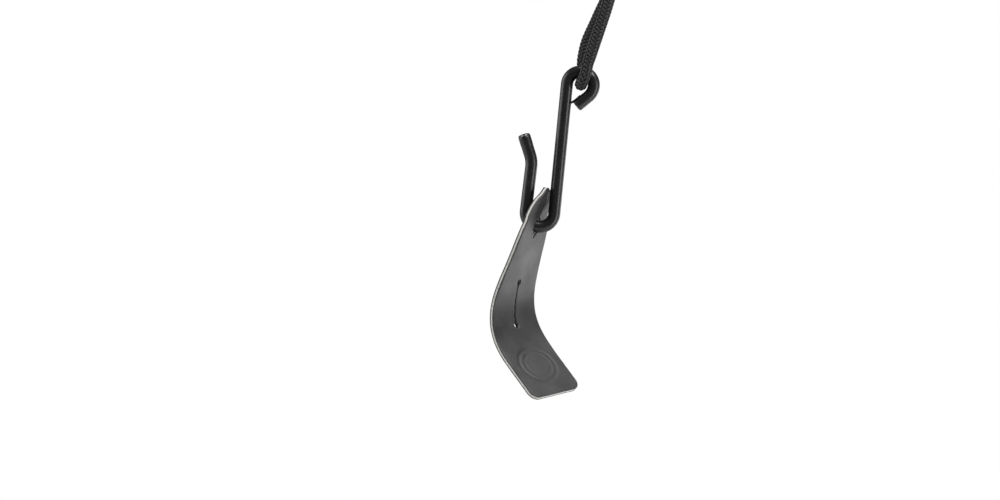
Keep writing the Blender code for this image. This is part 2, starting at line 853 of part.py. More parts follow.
def slit_outline():
    """The hook's slit, pushed open by the wire, down to its round relief hole."""
    right = []
    for t in np.linspace(0, 1, 9):
        s = SLIT_TOP + t * (0.9 * MM - SLIT_TOP)
        right.append((s, max(SLIT_HALF_WIDTH * np.sin(np.pi / 2 * t ** 0.85), 0.12 * MM)))
    right.append((2.05 * MM, 1.7 * MM))
    right.append((SLIT_BOTTOM, RELIEF_HOLE))
    right.append((SLIT_BOTTOM + 0.7 * RELIEF_HOLE, 0.7 * RELIEF_HOLE))
    left = [(s, -v) for s, v in right[::-1]]
    return right + [(SLIT_BOTTOM + RELIEF_HOLE, 0.0)] + left


def hole_outline(s, radius):
    turns = np.arange(12) * 2 * np.pi / 12
    return [(s + radius * np.cos(t), radius * np.sin(t)) for t in turns]


def build_tab(hanger):
    half = TAB_THICK / 2
    core = half - TAB_SKIN
    plies = [
        tab_ply("tab_front", core + TAB_PLY_GAP, half, leather()),
        tab_ply("tab_core", -core, core, raw_leather()),
        tab_ply("tab_back", -half, -core - TAB_PLY_GAP, leather()),
    ]
    tools = [tab_cutter("cutter_hook_slit", 0.0, slit_outline())]
    first, last = THUMB_SLIT
    for label, s in (("upper", first), ("lower", last)):
        tools.append(tab_cutter("cutter_thumb_" + label, s, hole_outline(s, THUMB_HOLE)))
    middle = (first + last) / 2
    line = [
        (first, THUMB_SLIT_HALF_WIDTH),
        (last, THUMB_SLIT_HALF_WIDTH),
        (last, -THUMB_SLIT_HALF_WIDTH),
        (first, -THUMB_SLIT_HALF_WIDTH),
    ]
    tools.append(tab_cutter("cutter_thumb_slit", middle, line))
    for ply in plies:
        for tool in tools:
            cut(ply, tool)
    pivot("tab_swing", wire_rest(), hanger, plies + tools)


clear_scene()
build_band()
loop = build_cords()
hook = build_hook(loop)
build_tab(hook)
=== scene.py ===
"""Looks for the woodwind neck strap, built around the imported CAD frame.

Everything is in metres in the row frame: origin inside the band at the nape, wearer facing -Y,
+Z up. The photograph's camera faces the hook and is rolled, so the hanging strap leans right.
"""

import json

import bmesh
import bpy
import numpy as np
from mathutils import Matrix, Vector
from mathutils.geometry import delaunay_2d_cdt


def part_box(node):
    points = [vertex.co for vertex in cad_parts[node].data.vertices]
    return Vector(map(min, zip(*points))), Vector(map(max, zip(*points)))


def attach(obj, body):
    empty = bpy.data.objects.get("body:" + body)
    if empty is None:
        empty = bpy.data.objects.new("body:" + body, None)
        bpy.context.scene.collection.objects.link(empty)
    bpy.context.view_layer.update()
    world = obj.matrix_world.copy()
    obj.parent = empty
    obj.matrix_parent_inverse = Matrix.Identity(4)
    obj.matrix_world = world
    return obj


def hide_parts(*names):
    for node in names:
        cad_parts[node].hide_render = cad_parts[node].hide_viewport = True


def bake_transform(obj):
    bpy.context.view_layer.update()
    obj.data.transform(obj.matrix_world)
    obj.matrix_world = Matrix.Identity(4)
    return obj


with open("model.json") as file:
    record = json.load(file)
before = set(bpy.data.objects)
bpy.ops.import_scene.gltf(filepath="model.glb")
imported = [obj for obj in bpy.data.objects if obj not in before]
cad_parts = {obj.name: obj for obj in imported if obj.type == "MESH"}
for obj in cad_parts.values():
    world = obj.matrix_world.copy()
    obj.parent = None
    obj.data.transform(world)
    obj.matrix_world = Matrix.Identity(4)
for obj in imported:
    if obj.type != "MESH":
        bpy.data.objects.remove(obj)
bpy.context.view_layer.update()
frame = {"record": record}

MM = 0.001
JOINTS = {joint["name"]: joint for joint in frame["record"]["behaviour"]["joints"]}

# ---- places that come from the frame ----

EYE = np.array(JOINTS["hook_swing"]["pos_m"], float)
WIRE_REST = np.array(JOINTS["tab_swing"]["pos_m"], float)
HOOK_P = np.array(JOINTS["tab_swing"]["axis"], float)  # across the shank
HOOK_P /= np.linalg.norm(HOOK_P)
HOOK_Q = np.array((-HOOK_P[2], 0.0, HOOK_P[0]))  # up the shank

ADJUSTER_LOW, ADJUSTER_HIGH = (np.array(c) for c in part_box("adjuster_body"))
ADJUSTER = (ADJUSTER_LOW + ADJUSTER_HIGH) / 2

# ---- camera ----

CAMERA_DISTANCE = 0.9
CAMERA_LENS = 103.7  # mm; 0.3125 m across at the hook
CAMERA_ROLL = np.radians(19.5)
LOOK_RIGHT, LOOK_UP = -0.0265, -0.0555  # from the wire under the cord to the picture's middle

# ---- lights, world and floor ----

# Each light's name, turn from the camera's side towards +X, rise, size and power.
LIGHTS = (
    ("light_left", -90, 0, (0.9, 1.0), 7.8),
    ("light_right_front", 62, 5, (0.35, 1.0), 5.5),
    ("light_right_back", 126, -6, (0.55, 0.8), 3.3),
    ("light_top", 20, 80, (0.7, 0.7), 9.5),
    ("light_spark", 37, 51, (0.10, 0.10), 2.6),
)
LIGHT_DISTANCE = 1.0
LIGHT_AIM = (0.0, 0.0, -0.05)  # from the top of the hook
# The world's strength grows over this range of the direction's Y and, besides, of its Z.
SKY_RANGE = (-0.2, 0.9)
SKY_BEHIND = (0.10, 0.16)
SKY_ABOVE = (0.0, 0.10)
FLOOR_CENTRE = (0.0, -0.07, -0.75)
FLOOR_RADIUS = 1.1

# ---- turned metal ----

TURNED_SIDES = 64
OFF_AXIS = (0.31, 0.22, 0.93)  # any way that no turned piece's axis takes

# ---- hook, as in the CAD ----

COAT = 1.90 * MM
BORE = 1.28 * MM
# Rings of the open cut end: how far on from it each lies, and how much wider than the bore.
MOUTH = ((0.02 * MM, 0.12 * MM), (0.0, 0.0), (-0.5 * MM, -0.03 * MM))
BIGHT_RADIUS = 4.45 * MM
PRONG_CLOSE = np.radians(1.3)
PRONG_LENGTH = 13.8 * MM
PRONG_FLARE = np.radians(24)
PRONG_TIP = 6.6 * MM
FLARE_RADIUS = 9 * MM
SHANK_LENGTH = 40.9 * MM
EYE_RADIUS = 4.2 * MM
EYE_RUN_RADIUS = 4.7 * MM
EYE_RUN_TURN = np.radians(45)
EYE_RUN_LENGTH = 4.8 * MM
HOOK_TOP = EYE + (0, 0, EYE_RADIUS)
TIP_ROUND = 0.35 * MM
TIP_TILT = np.radians(15)  # how far the tip's cut end faces the camera's side
TIP_TILT_FADE = 1.6 * MM
TIP_REGION = 6 * MM
TIP_LAYER = 0.05 * MM  # how much thicker the coating is at the tip
TIP_LAYER_END = 2.6 * MM
END_ROUND = 0.35 * MM  # at the eye's cut end
# The strip of spare coating, in mm from the eye: across the shank, up it, and along Y.
STRIP = ((0.4, -3.4, -0.6), (-1.3, -5.0, -0.5), (-2.3, -5.75, -0.3), (-3.2, -5.75, 0.0))
STRIP_RADIUS = 0.42 * MM

# ---- cords, as in the CAD ----

CORD = 2.05 * MM  # radius over the braid
CORD_IN_EYE = 2.00 * MM  # and where the eye's wire squeezes it
INNER_HOLE_X = 4.7 * MM
OUTER_HOLE_X = 12.2 * MM
BLOCK = 7 * MM  # half the adjuster's height
CORD_TURN = 5.2 * MM
# Lower legs: height above the eye's wire, the near leg's and the far leg's place across, and
# how far apart they are in depth as a share of the loop's radius.
LEGS = (
    (83.0 * MM, -4.70 * MM, 4.70 * MM, 0.00),
    (76.0 * MM, -4.20 * MM, 4.15 * MM, 0.05),
    (60.0 * MM, -2.90 * MM, 2.60 * MM, 0.20),
    (40.0 * MM, -1.45 * MM, 0.60 * MM, 0.60),
    (22.0 * MM, -0.45 * MM, -1.45 * MM, 0.85),
    (16.0 * MM, -0.28 * MM, -2.00 * MM, 0.93),
    (9.8 * MM, -0.20 * MM, -2.50 * MM, 1.00),
    (5.0 * MM, -0.12 * MM, -2.02 * MM, 1.00),
    (2.3 * MM, -0.08 * MM, -1.33 * MM, 1.00),
)
LOOP_TURN = (0.30 * MM, 0.0 * MM)  # across, where the loop starts and ends its turn
STOP_LENGTH = 7 * MM
ADJUSTER_BORE = 2.75 * MM
FLUTE = 0.16 * MM  # half the depth of its finger flutes
FLUTES_END = 1.2  # radians each way from its end
BRAID_LEAD = 9.6 * MM
BRAID_STRANDS = 8  # each way
STRAND_HALF_WIDTH = 0.40 * MM
STRAND_HALF_THICK = 0.32 * MM
BRAID_WAVE = 0.28 * MM
BRAID_STEP = 0.25 * MM
STRAND_SIDES = 6
CORE_UNDER_BRAID = 0.2 * MM
SQUEEZE_FADE = 6 * MM  # above the eye's wire, where the cord is at its full radius again
LOWER_CORD_END = -0.5 * MM  # where the cords end inside the adjuster, up from its middle
UPPER_CORD_END = 0.3 * MM
CORD_PAIR_X = 8 * MM  # between the adjuster's two bores on one side

# ---- neck band, as in the CAD: its line from the nape to one end, and the way out from it ----

BAND_LINE = (
    (0.000, 0.000, 0.000),
    (0.030, -0.007, -0.004),
    (0.055, -0.029, -0.013),
    (0.067, -0.060, -0.031),
    (0.066, -0.091, -0.062),
    (0.057, -0.114, -0.100),
    (0.045, -0.126, -0.135),
    (0.036, -0.131, -0.160),
)
BAND_OUT = (
    (0.00, 0.80, 0.60),
    (0.25, 0.66, 0.66),
    (0.50, 0.36, 0.76),
    (0.60, -0.10, 0.78),
    (0.45, -0.60, 0.64),
    (0.22, -0.90, 0.38),
    (0.08, -0.98, 0.18),
    (0.00, -1.00, 0.10),
)
BAND_END = 0.87  # share of the line that the padded part covers
BAND_HALF_WIDTH = (17.5 * MM, 10.0 * MM)  # at the nape and at the end
PADDING = (5.0 * MM, 2.0 * MM)
LINING = 1.2 * MM
COVER_OVER_PADDING = 4.2 * MM  # lining, cover and both gaps
END_TAB_LOW = 6.6 * MM
END_TAB_THICK = 2.2 * MM
END_TAB_HALF_WIDTH = 8.5 * MM
END_TAB_EDGE = 0.45 * MM
END_TAB_START = 0.78
RIVET_HOLE = 1.9 * MM
EYELET_HOLE = 3.9 * MM
RIVET_AT = 0.825
EYELET_AT = 0.955
GAP = 0.3 * MM
SIDES = (("left", -1), ("right", 1))

# ---- neck band, as sewn ----

EDGE_HEIGHT = 3.4 * MM  # of the band where the binding holds its edge
SEAM_IN = 4.6 * MM  # the cover's sewn line, from its edge
SEAM_DIP = 0.7 * MM
COVER_STEP = 2.6 * MM
COVER_UNDERSIDE = 11  # columns of points
COVER_EDGE_COLUMNS = (0.0, 1.2, 2.4, 3.4, 4.0, 4.6, 5.3, 6.4)  # of its top, in mm from each edge
COVER_SEWN = (0, 1, 2, 3, 5)  # which of them the seam holds
CLOTH = {
    "quality": 6,
    "mass": 0.25,
    "tension_stiffness": 12,
    "compression_stiffness": 12,
    "shear_stiffness": 6,
    "bending_stiffness": 0.4,
    "air_damping": 2.0,
    "use_pressure": True,
    "uniform_pressure_force": 4.0,
}
CLOTH_FRAMES = 20
FOAM_GAP = 0.45 * MM
MOST_SWELL = 1.3 * MM
BINDING_REACH = 3.4 * MM
BINDING_THICK = 0.7 * MM
STITCH_PITCH = 3.4 * MM
STITCH_LENGTH = 2.5 * MM
THREAD = 0.28 * MM


def unit(v):
    v = np.asarray(v, float)
    return v / np.linalg.norm(v)


def unit_rows(rows):
    return rows / np.linalg.norm(rows, axis=1)[:, None]


def ease(t):
    t = np.clip(t, 0.0, 1.0)
    return t * t * (3 - 2 * t)


def between(at, stations, points):
    """The point at each place along a line whose points lie at these stations."""
    return np.stack([np.interp(at, stations, points[:, i]) for i in range(3)], axis=-1)


def rounding(radius, turns):
    """Steps round a rounded edge: how far out, and how far below the edge's top face."""
    return [(radius * np.sin(t), radius * (1 - np.cos(t))) for t in np.radians(turns)]


def rounded_rows(radius, high, low, turns):
    """A plate's side as (out, height) rows, with both its edges rounded."""
    steps = rounding(radius, turns)
    upper = [(out, high - drop) for out, drop in steps]
    return upper + [(out, low + drop) for out, drop in steps[::-1]]


# ---- materials ----


class Look:
    """A node material under construction: shader sockets plus a few texture helpers."""

    def __init__(self, name, colour, roughness, metallic=0.0, specular=0.5):
        self.material = bpy.data.materials.new(name)
        self.material.use_nodes = True
        self.tree = self.material.node_tree
        self.shader = self.tree.nodes["Principled BSDF"]
        self.shader.inputs["Base Color"].default_value = (*colour, 1.0)
        self.shader.inputs["Roughness"].default_value = roughness
        self.shader.inputs["Metallic"].default_value = metallic
        self.shader.inputs["Specular IOR Level"].default_value = specular
        self.height = None

    def node(self, kind, sockets, **settings):
        """A new node with these values on its input sockets."""
        made = self.tree.nodes.new(kind)
        for key, value in settings.items():
            setattr(made, key, value)
        for key, value in sockets.items():
            made.inputs[key].default_value = value
        return made

    def link(self, a, b):
        self.tree.links.new(a, b)

    def place(self, source="Object", scale=(1.0, 1.0, 1.0)):
        """Texture coordinates from the object or its UV map, in metres times scale."""
        coordinates = self.node("ShaderNodeTexCoord", {})
        mapping = self.node("ShaderNodeMapping", {"Scale": scale})
        self.link(coordinates.outputs[source], mapping.inputs["Vector"])
        return mapping.outputs["Vector"]

    def noise(self, place, scale, detail=4.0, roughness=0.55):
        sockets = {"Scale": scale, "Detail": detail, "Roughness": roughness}
        made = self.node("ShaderNodeTexNoise", sockets)
        self.link(place, made.inputs["Vector"])
        return made.outputs["Fac"]

    def cells(self, place, scale, feature="F1"):
        made = self.node("ShaderNodeTexVoronoi", {"Scale": scale}, feature=feature)
        self.link(place, made.inputs["Vector"])
        return made.outputs["Distance"]

    def bands(self, place, scale, direction="X", distortion=0.0):
        sockets = {"Scale": scale, "Distortion": distortion}
        made = self.node("ShaderNodeTexWave", sockets, bands_direction=direction)
        self.link(place, made.inputs["Vector"])
        return made.outputs["Fac"]

    def spread(self, value, low, high, low_at=0.3, high_at=0.7):
        """value from low_at to high_at mapped onto low to high."""
        sockets = {"From Min": low_at, "From Max": high_at, "To Min": low, "To Max": high}
        made = self.node("ShaderNodeMapRange", sockets)
        self.link(value, made.inputs["Value"])
        return made.outputs["Result"]

    def colours(self, value, first, second):
        ramp = self.node("ShaderNodeValToRGB", {})
        ramp.color_ramp.elements[0].color = (*first, 1.0)
        ramp.color_ramp.elements[1].color = (*second, 1.0)
        self.link(value, ramp.inputs["Fac"])
        self.link(ramp.outputs["Color"], self.shader.inputs["Base Color"])

    def roughness(self, value, low, high):
        self.link(self.spread(value, low, high), self.shader.inputs["Roughness"])

    def bump(self, value, distance, strength=1.0):
        made = self.node("ShaderNodeBump", {"Distance": distance, "Strength": strength})
        self.link(value, made.inputs["Height"])
        if self.height is not None:
            self.link(self.height, made.inputs["Normal"])
        self.height = made.outputs["Normal"]
        self.link(self.height, self.shader.inputs["Normal"])

    def sheen(self, weight, roughness):
        self.shader.inputs["Sheen Weight"].default_value = weight
        self.shader.inputs["Sheen Roughness"].default_value = roughness


def coat_look():
    """Satin black plastic sleeve, faintly drawn along the wire."""
    look = Look("coat_plastic", (0.010, 0.010, 0.0105), 0.30, specular=0.45)
    lines = look.noise(look.place("UV", (1.0, 0.03, 1.0)), 1500, 2)
    look.bump(lines, 0.006 * MM, 0.4)
    spots = look.noise(look.place("Object"), 500, 3)
    look.roughness(spots, 0.26, 0.36)
    return look.material


def cord_look():
    """Black textile yarn with fibres along each strand."""
    look = Look("cord_yarn", (0.02, 0.02, 0.0205), 0.50, specular=0.38)
    fibres = look.noise(look.place("UV", (1.0, 0.05, 1.0)), 5000, 2)
    look.colours(look.spread(fibres, 0, 1), (0.008, 0.008, 0.0085), (0.021, 0.021, 0.0215))
    look.bump(fibres, 0.010 * MM, 0.4)
    look.sheen(0.1, 0.4)
    return look.material


def cord_core_look():
    look = Look("cord_core", (0.008, 0.008, 0.008), 0.9, specular=0.2)
    look.bump(look.noise(look.place("Object"), 3000, 2), 0.02 * MM, 0.5)
    return look.material


def leather_look(name="black_leather"):
    """Smooth black leather: fine pebbles, soft mottling and a dull gloss."""
    look = Look(name, (0.020, 0.0195, 0.020), 0.46)
    place = look.place("Object")
    mottle = look.noise(place, 130, 5)
    look.colours(look.spread(mottle, 0, 1), (0.020, 0.0195, 0.020), (0.034, 0.03315, 0.034))
    pebbles = look.cells(place, 2300, "SMOOTH_F1")
    look.bump(pebbles, 0.035 * MM, 0.5)
    look.bump(look.noise(place, 420, 5), 0.09 * MM, 0.4)
    look.roughness(mottle, 0.38, 0.54)
    return look.material


def raw_leather_look():
    """Cut leather: pale grey fibres in layers."""
    look = Look("raw_leather", (0.62, 0.60, 0.57), 0.85, specular=0.25)
    fibres = look.noise(look.place("Object"), 1500, 6, 0.7)
    look.colours(look.spread(fibres, 0, 1), (0.40, 0.385, 0.365), (0.80, 0.78, 0.75))
    look.bump(fibres, 0.08 * MM, 0.8)
    return look.material


def band_leather_look():
    """Soft black garment leather: rounder pebbles and finer creases than the tab's."""
    look = Look("band_leather", (0.022, 0.0215, 0.022), 0.5, specular=0.45)
    place = look.place("UV")
    grain = look.cells(place, 900, "SMOOTH_F1")
    look.bump(grain, 0.12 * MM, 0.6)
    look.bump(look.noise(place, 160, 5), 0.22 * MM, 0.4)
    mottle = look.noise(place, 60, 5)
    look.colours(look.spread(mottle, 0, 1), (0.017, 0.0165, 0.017), (0.034, 0.033, 0.034))
    look.roughness(look.noise(place, 300, 3), 0.42, 0.60)
    return look.material


def mesh_fabric_look():
    """Black spacer mesh: rows of small round openings in a knitted face, with painted shade
    darkening the openings.
    """
    look = Look("spacer_mesh", (0.03, 0.03, 0.032), 0.85, specular=0.25)
    place = look.place("UV", (1.0, 0.8, 1.0))
    holes = look.cells(place, 620)
    # Painted shade: the colour darkens towards each opening's middle, where the bump sinks it.
    look.colours(look.spread(holes, 0, 1, 0.15, 0.5), (0.006, 0.006, 0.0065), (0.055, 0.055, 0.058))
    look.bump(holes, 0.35 * MM, 0.9)
    look.bump(look.bands(place, 900, "X"), 0.05 * MM, 0.5)
    look.sheen(0.4, 0.5)
    return look.material


def webbing_look():
    """Ribbed binding tape, with painted shade in the grooves between its ribs and a painted lighter
    tone on their crests.
    """
    look = Look("binding_tape", (0.018, 0.018, 0.019), 0.7, specular=0.3)
    place = look.place("UV")
    ribs = look.bands(place, 420, "Y", 0.6)
    look.bump(ribs, 0.10 * MM, 0.8)
    # Painted shade and highlight: the colour follows the ribs, darker in their grooves and lighter
    # on their crests.
    look.colours(ribs, (0.010, 0.010, 0.0105), (0.034, 0.034, 0.036))
    look.bump(look.noise(place, 3000, 2), 0.03 * MM, 0.5)
    look.sheen(0.3, 0.4)
    return look.material


def thread_look():
    look = Look("thread", (0.045, 0.045, 0.047), 0.5, specular=0.4)
    plies = look.bands(look.place("UV"), 700, "DIAGONAL")
    look.bump(plies, 0.04 * MM, 0.8)
    # Painted shade: the colour follows the ply bands, darker in the grooves between the plies.
    look.colours(plies, (0.02, 0.02, 0.021), (0.07, 0.07, 0.073))
    return look.material


def nickel_look():
    """Plated brass, bright, with hairline scratches and faint fingerprints."""
    look = Look("nickel", (0.66, 0.64, 0.61), 0.22, metallic=1.0)
    place = look.place("Object")
    look.roughness(look.noise(place, 260, 5), 0.14, 0.34)
    look.bump(look.noise(look.place("Object", (1.0, 1.0, 14.0)), 500, 3), 0.012 * MM, 0.4)
    look.colours(look.noise(place, 90, 3), (0.55, 0.53, 0.50), (0.74, 0.72, 0.69))
    return look.material


def steel_look():
    look = Look("wire_steel", (0.45, 0.45, 0.46), 0.35, metallic=1.0)
    look.bump(look.noise(look.place("Object"), 900, 3), 0.02 * MM, 0.5)
    look.roughness(look.noise(look.place("Object"), 400, 3), 0.25, 0.5)
    return look.material


def foam_look():
    look = Look("foam", (0.10, 0.10, 0.105), 0.95, specular=0.15)
    cells = look.cells(look.place("Object"), 1100)
    look.bump(cells, 0.3 * MM, 0.9)
    # Painted shade in the pores: the colour darkens towards each cell's middle, where the bump
    # sinks it.
    look.colours(cells, (0.03, 0.03, 0.032), (0.14, 0.14, 0.145))
    return look.material


def moulded_look():
    """Moulded nylon: matt spark texture, its shine varying a little from place to place."""
    look = Look("moulded_nylon", (0.014, 0.014, 0.0145), 0.5, specular=0.45)
    place = look.place("Object")
    look.bump(look.noise(place, 2600, 3, 0.7), 0.03 * MM, 0.6)
    look.roughness(look.noise(place, 180, 4), 0.40, 0.58)
    look.colours(look.noise(place, 110, 4), (0.011, 0.011, 0.0115), (0.020, 0.020, 0.021))
    return look.material


# ---- meshes ----


def mesh_object(name, points, faces, look, uvs=None):
    """A smooth mesh. uvs has one pair for each point, in metres."""
    mesh = bpy.data.meshes.new(name)
    mesh.from_pydata(np.asarray(points).tolist(), [], [[int(v) for v in face] for face in faces])
    mesh.materials.append(look)
    if uvs is not None:
        layer = mesh.uv_layers.new(name="metres")
        used = np.empty(len(mesh.loops), np.int32)
        mesh.loops.foreach_get("vertex_index", used)
        layer.data.foreach_set("uv", np.asarray(uvs, np.float32)[used].ravel())
    mesh.shade_smooth()
    mesh.validate()
    obj = bpy.data.objects.new(name, mesh)
    bpy.context.scene.collection.objects.link(obj)
    return obj


def sharpen(obj, degrees):
    obj.data.set_sharp_from_angle(angle=np.radians(degrees))
    return obj


def spline(points, share):
    """The point at this share of a smooth curve through the points."""
    points = np.asarray(points, float)
    spans = len(points) - 1
    at = min(max(share, 0.0), 1.0) * spans
    i = min(int(at), spans - 1)
    t = at - i
    before = points[i - 1] if i else 2 * points[0] - points[1]
    after = points[i + 2] if i + 2 <= spans else 2 * points[-1] - points[-2]
    a, b = points[i], points[i + 1]
    return 0.5 * (
        2 * a
        + (b - before) * t
        + (2 * before - 5 * a + 4 * b - after) * t**2
        + (3 * a - before - 3 * b + after) * t**3
    )


def lengths_along(line):
    return np.concatenate([[0], np.cumsum(np.linalg.norm(np.diff(line, axis=0), axis=1))])


def resample(line, step):
    lengths = lengths_along(line)
    count = max(2, int(round(lengths[-1] / step)) + 1)
    return between(np.linspace(0, lengths[-1], count), lengths, line)


def smooth_line(points, step):
    """Evenly spaced points of a smooth curve through a given route."""
    fine = np.array([spline(points, t) for t in np.linspace(0, 1, 60 * len(points))])
    return resample(fine, step)


def carried_frames(line, first_side):
    """Directions along a line, and two across it that turn as little as possible."""
    along = unit_rows(np.gradient(line, axis=0))
    side = np.empty_like(along)
    current = np.asarray(first_side, float)
    for i, heading in enumerate(along):
        current = current - current.dot(heading) * heading
        current /= np.linalg.norm(current)
        side[i] = current
    return along, side, np.cross(along, side)


def grid_faces(rows, columns):
    """Quads round a tube of rows by columns points."""
    i, j = np.meshgrid(np.arange(rows - 1), np.arange(columns), indexing="ij")
    k = (j + 1) % columns
    quads = (i * columns + j, i * columns + k, (i + 1) * columns + k, (i + 1) * columns + j)
    return np.stack(quads, axis=-1).reshape(-1, 4)


def tube_faces(rows, columns):
    """The same quads, with a flat cap at each end."""
    last = (rows - 1) * columns
    caps = tuple(range(columns))[::-1], tuple(range(last, last + columns))
    return [*grid_faces(rows, columns), *caps]


def grid_uvs(around, lengths):
    """UVs for a grid of points that has one row for each length."""
    return np.stack(np.broadcast_arrays(around, lengths[:, None]), axis=-1).reshape(-1, 2)


def full_turn(count):
    return np.arange(count) * 2 * np.pi / count


def tube_parts(line, side, other, radii, segments):
    """Points, faces and UVs of a round tube with flat ends. radii is one number or one a point."""
    turns = full_turn(segments)
    radii = np.broadcast_to(np.asarray(radii, float), (len(line),))
    spokes = np.cos(turns)[:, None] * side[:, None] + np.sin(turns)[:, None] * other[:, None]
    points = (line[:, None] + radii[:, None, None] * spokes).reshape(-1, 3)
    uvs = grid_uvs(turns * radii.mean(), lengths_along(line))
    return points, tube_faces(len(line), segments), uvs


def joined(name, parts, look):
    """One mesh of several parts, each given as its points, faces and UVs."""
    points, faces, uvs = zip(*parts)
    firsts = np.cumsum([0, *(len(part) for part in points)])
    moved = [[v + first for v in face] for first, part in zip(firsts, faces) for face in part]
    return mesh_object(name, np.concatenate(points), moved, look, np.concatenate(uvs))


def strip_surface(stations, line, across, out):
    """Maps (s, u, height) of a curved strip onto the row frame."""

    def at(s, u, height):
        s, u, height = np.broadcast_arrays(*(np.asarray(v, float) for v in (s, u, height)))
        centre, sideways, outward = (between(s, stations, part) for part in (line, across, out))
        return centre + u[..., None] * sideways + height[..., None] * outward

    return at


def swept(name, surface, rows, ring_at, look):
    """A closed skin through rings of (u, height), one for each s in rows."""
    rings = [np.array(ring_at(s)) for s in rows]
    points = np.concatenate([surface(s, ring[:, 0], ring[:, 1]) for s, ring in zip(rows, rings)])
    widest = max(rings, key=lambda ring: np.ptp(ring[:, 0]))
    faces = tube_faces(len(rows), len(widest))
    return mesh_object(name, points, faces, look, grid_uvs(lengths_along(widest), rows))


def facing_out(obj):
    """Turns the faces of a closed mesh outwards."""
    made = bmesh.new()
    made.from_mesh(obj.data)
    bmesh.ops.recalc_face_normals(made, faces=made.faces)
    made.to_mesh(obj.data)
    made.free()
    return obj


def turned(name, centre, axis, profile, look, closed=False):
    """A lathe shape: (radius, height) turned about the axis. It starts and ends on the axis,
    or closed says that the profile is a loop."""
    axis = unit(axis)
    side = unit(np.cross(axis, OFF_AXIS))
    other = np.cross(axis, side)
    turns = full_turn(TURNED_SIDES)
    spokes = np.cos(turns)[:, None] * side + np.sin(turns)[:, None] * other
    profile = np.asarray(profile, float)
    points = np.concatenate([centre + r * spokes + z * axis for r, z in profile])
    rows, count = len(profile), TURNED_SIDES
    if closed:
        last = (rows - 1) * count
        faces = list(grid_faces(rows, count))
        faces += [(last + i, last + (i + 1) % count, (i + 1) % count, i) for i in range(count)]
    else:
        faces = tube_faces(rows, count)
    uvs = grid_uvs(turns * profile[:, 0].max(), lengths_along(profile))
    return sharpen(facing_out(mesh_object(name, points, faces, look, uvs)), 42)


def stitches(name, runs, look):
    """Sewn thread: one short arched tube for each stitch along each run of (points, outward)."""
    shares = np.linspace(0, 1, 7)
    rise = (0.9 * np.sin(np.pi * shares) ** 0.5 - 0.8) * THREAD
    parts = []
    for line, outward in runs:
        lengths = lengths_along(line)
        for start in np.arange(0.3 * STITCH_PITCH, lengths[-1] - STITCH_LENGTH, STITCH_PITCH):
            at = start + STITCH_LENGTH * shares
            out = between(at, lengths, outward)
            path = between(at, lengths, line) + rise[:, None] * out
            _, side, other = carried_frames(path, out[0])
            parts.append(tube_parts(path, side, other, THREAD, 8))
    return joined(name, parts, look)


def carried(piece, slot, body, *nodes):
    """Attaches a piece to the body that it rides and hides the CAD nodes it replaces; slot is not
    used.
    """
    if nodes:
        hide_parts(*nodes)
    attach(piece, body)


# ---- camera, light and floor ----


def make_camera():
    """Looks along +Y at the hook. right and up are the picture's, in the row frame."""
    data = bpy.data.cameras.new("camera")
    data.lens = CAMERA_LENS
    data.clip_start, data.clip_end = 0.05, 50.0
    camera = bpy.data.objects.new("camera", data)
    bpy.context.scene.collection.objects.link(camera)
    right = np.array((np.cos(CAMERA_ROLL), 0.0, np.sin(CAMERA_ROLL)))
    up = np.array((-np.sin(CAMERA_ROLL), 0.0, np.cos(CAMERA_ROLL)))
    back = np.array((0.0, -1.0, 0.0))
    place = HOOK_TOP + LOOK_RIGHT * right + LOOK_UP * up + CAMERA_DISTANCE * back
    columns = (*right, 0), (*up, 0), (*back, 0), (*place, 1)
    camera.matrix_world = Matrix(columns).transposed()
    bpy.context.scene.camera = camera


def area_light(name, place, target, size, power):
    data = bpy.data.lights.new(name, "AREA")
    data.shape = "RECTANGLE"
    data.size, data.size_y = size
    data.energy = power
    light = bpy.data.objects.new(name, data)
    bpy.context.scene.collection.objects.link(light)
    light.location = place
    light.rotation_mode = "QUATERNION"
    light.rotation_quaternion = (Vector(target) - Vector(place)).to_track_quat("-Z", "Y")
    light.visible_camera = False


def make_world():
    """White to look at; as a light it is bright behind and above, and dim on the camera's side."""
    world = bpy.data.worlds.new("studio")
    bpy.context.scene.world = world
    world.use_nodes = True
    tree = world.node_tree
    tree.nodes.clear()
    kinds = ("OutputWorld", "MixShader", "Background", "Background", "LightPath", "TexCoord",
             "SeparateXYZ", "MapRange", "MapRange", "Math")
    made = [tree.nodes.new("ShaderNode" + kind) for kind in kinds]
    output, mix, seen, lit, rays, place, split, depth, rise, total = made
    seen.inputs["Color"].default_value = (1.0, 1.0, 1.0, 1.0)
    lit.inputs["Color"].default_value = (1.0, 1.0, 1.0, 1.0)
    for node, strengths in ((depth, SKY_BEHIND), (rise, SKY_ABOVE)):
        sockets = ("From Min", "From Max", "To Min", "To Max")
        for socket, value in zip(sockets, (*SKY_RANGE, *strengths)):
            node.inputs[socket].default_value = value
    total.operation = "ADD"
    for source, given, target, taken in (
        (place, "Generated", split, "Vector"),
        (split, "Y", depth, "Value"),
        (split, "Z", rise, "Value"),
        (depth, "Result", total, 0),
        (rise, "Result", total, 1),
        (total, "Value", lit, "Strength"),
        (rays, "Is Camera Ray", mix, "Fac"),
        (lit, "Background", mix, 1),
        (seen, "Background", mix, 2),
        (mix, "Shader", output, "Surface"),
    ):
        tree.links.new(source.outputs[given], target.inputs[taken])


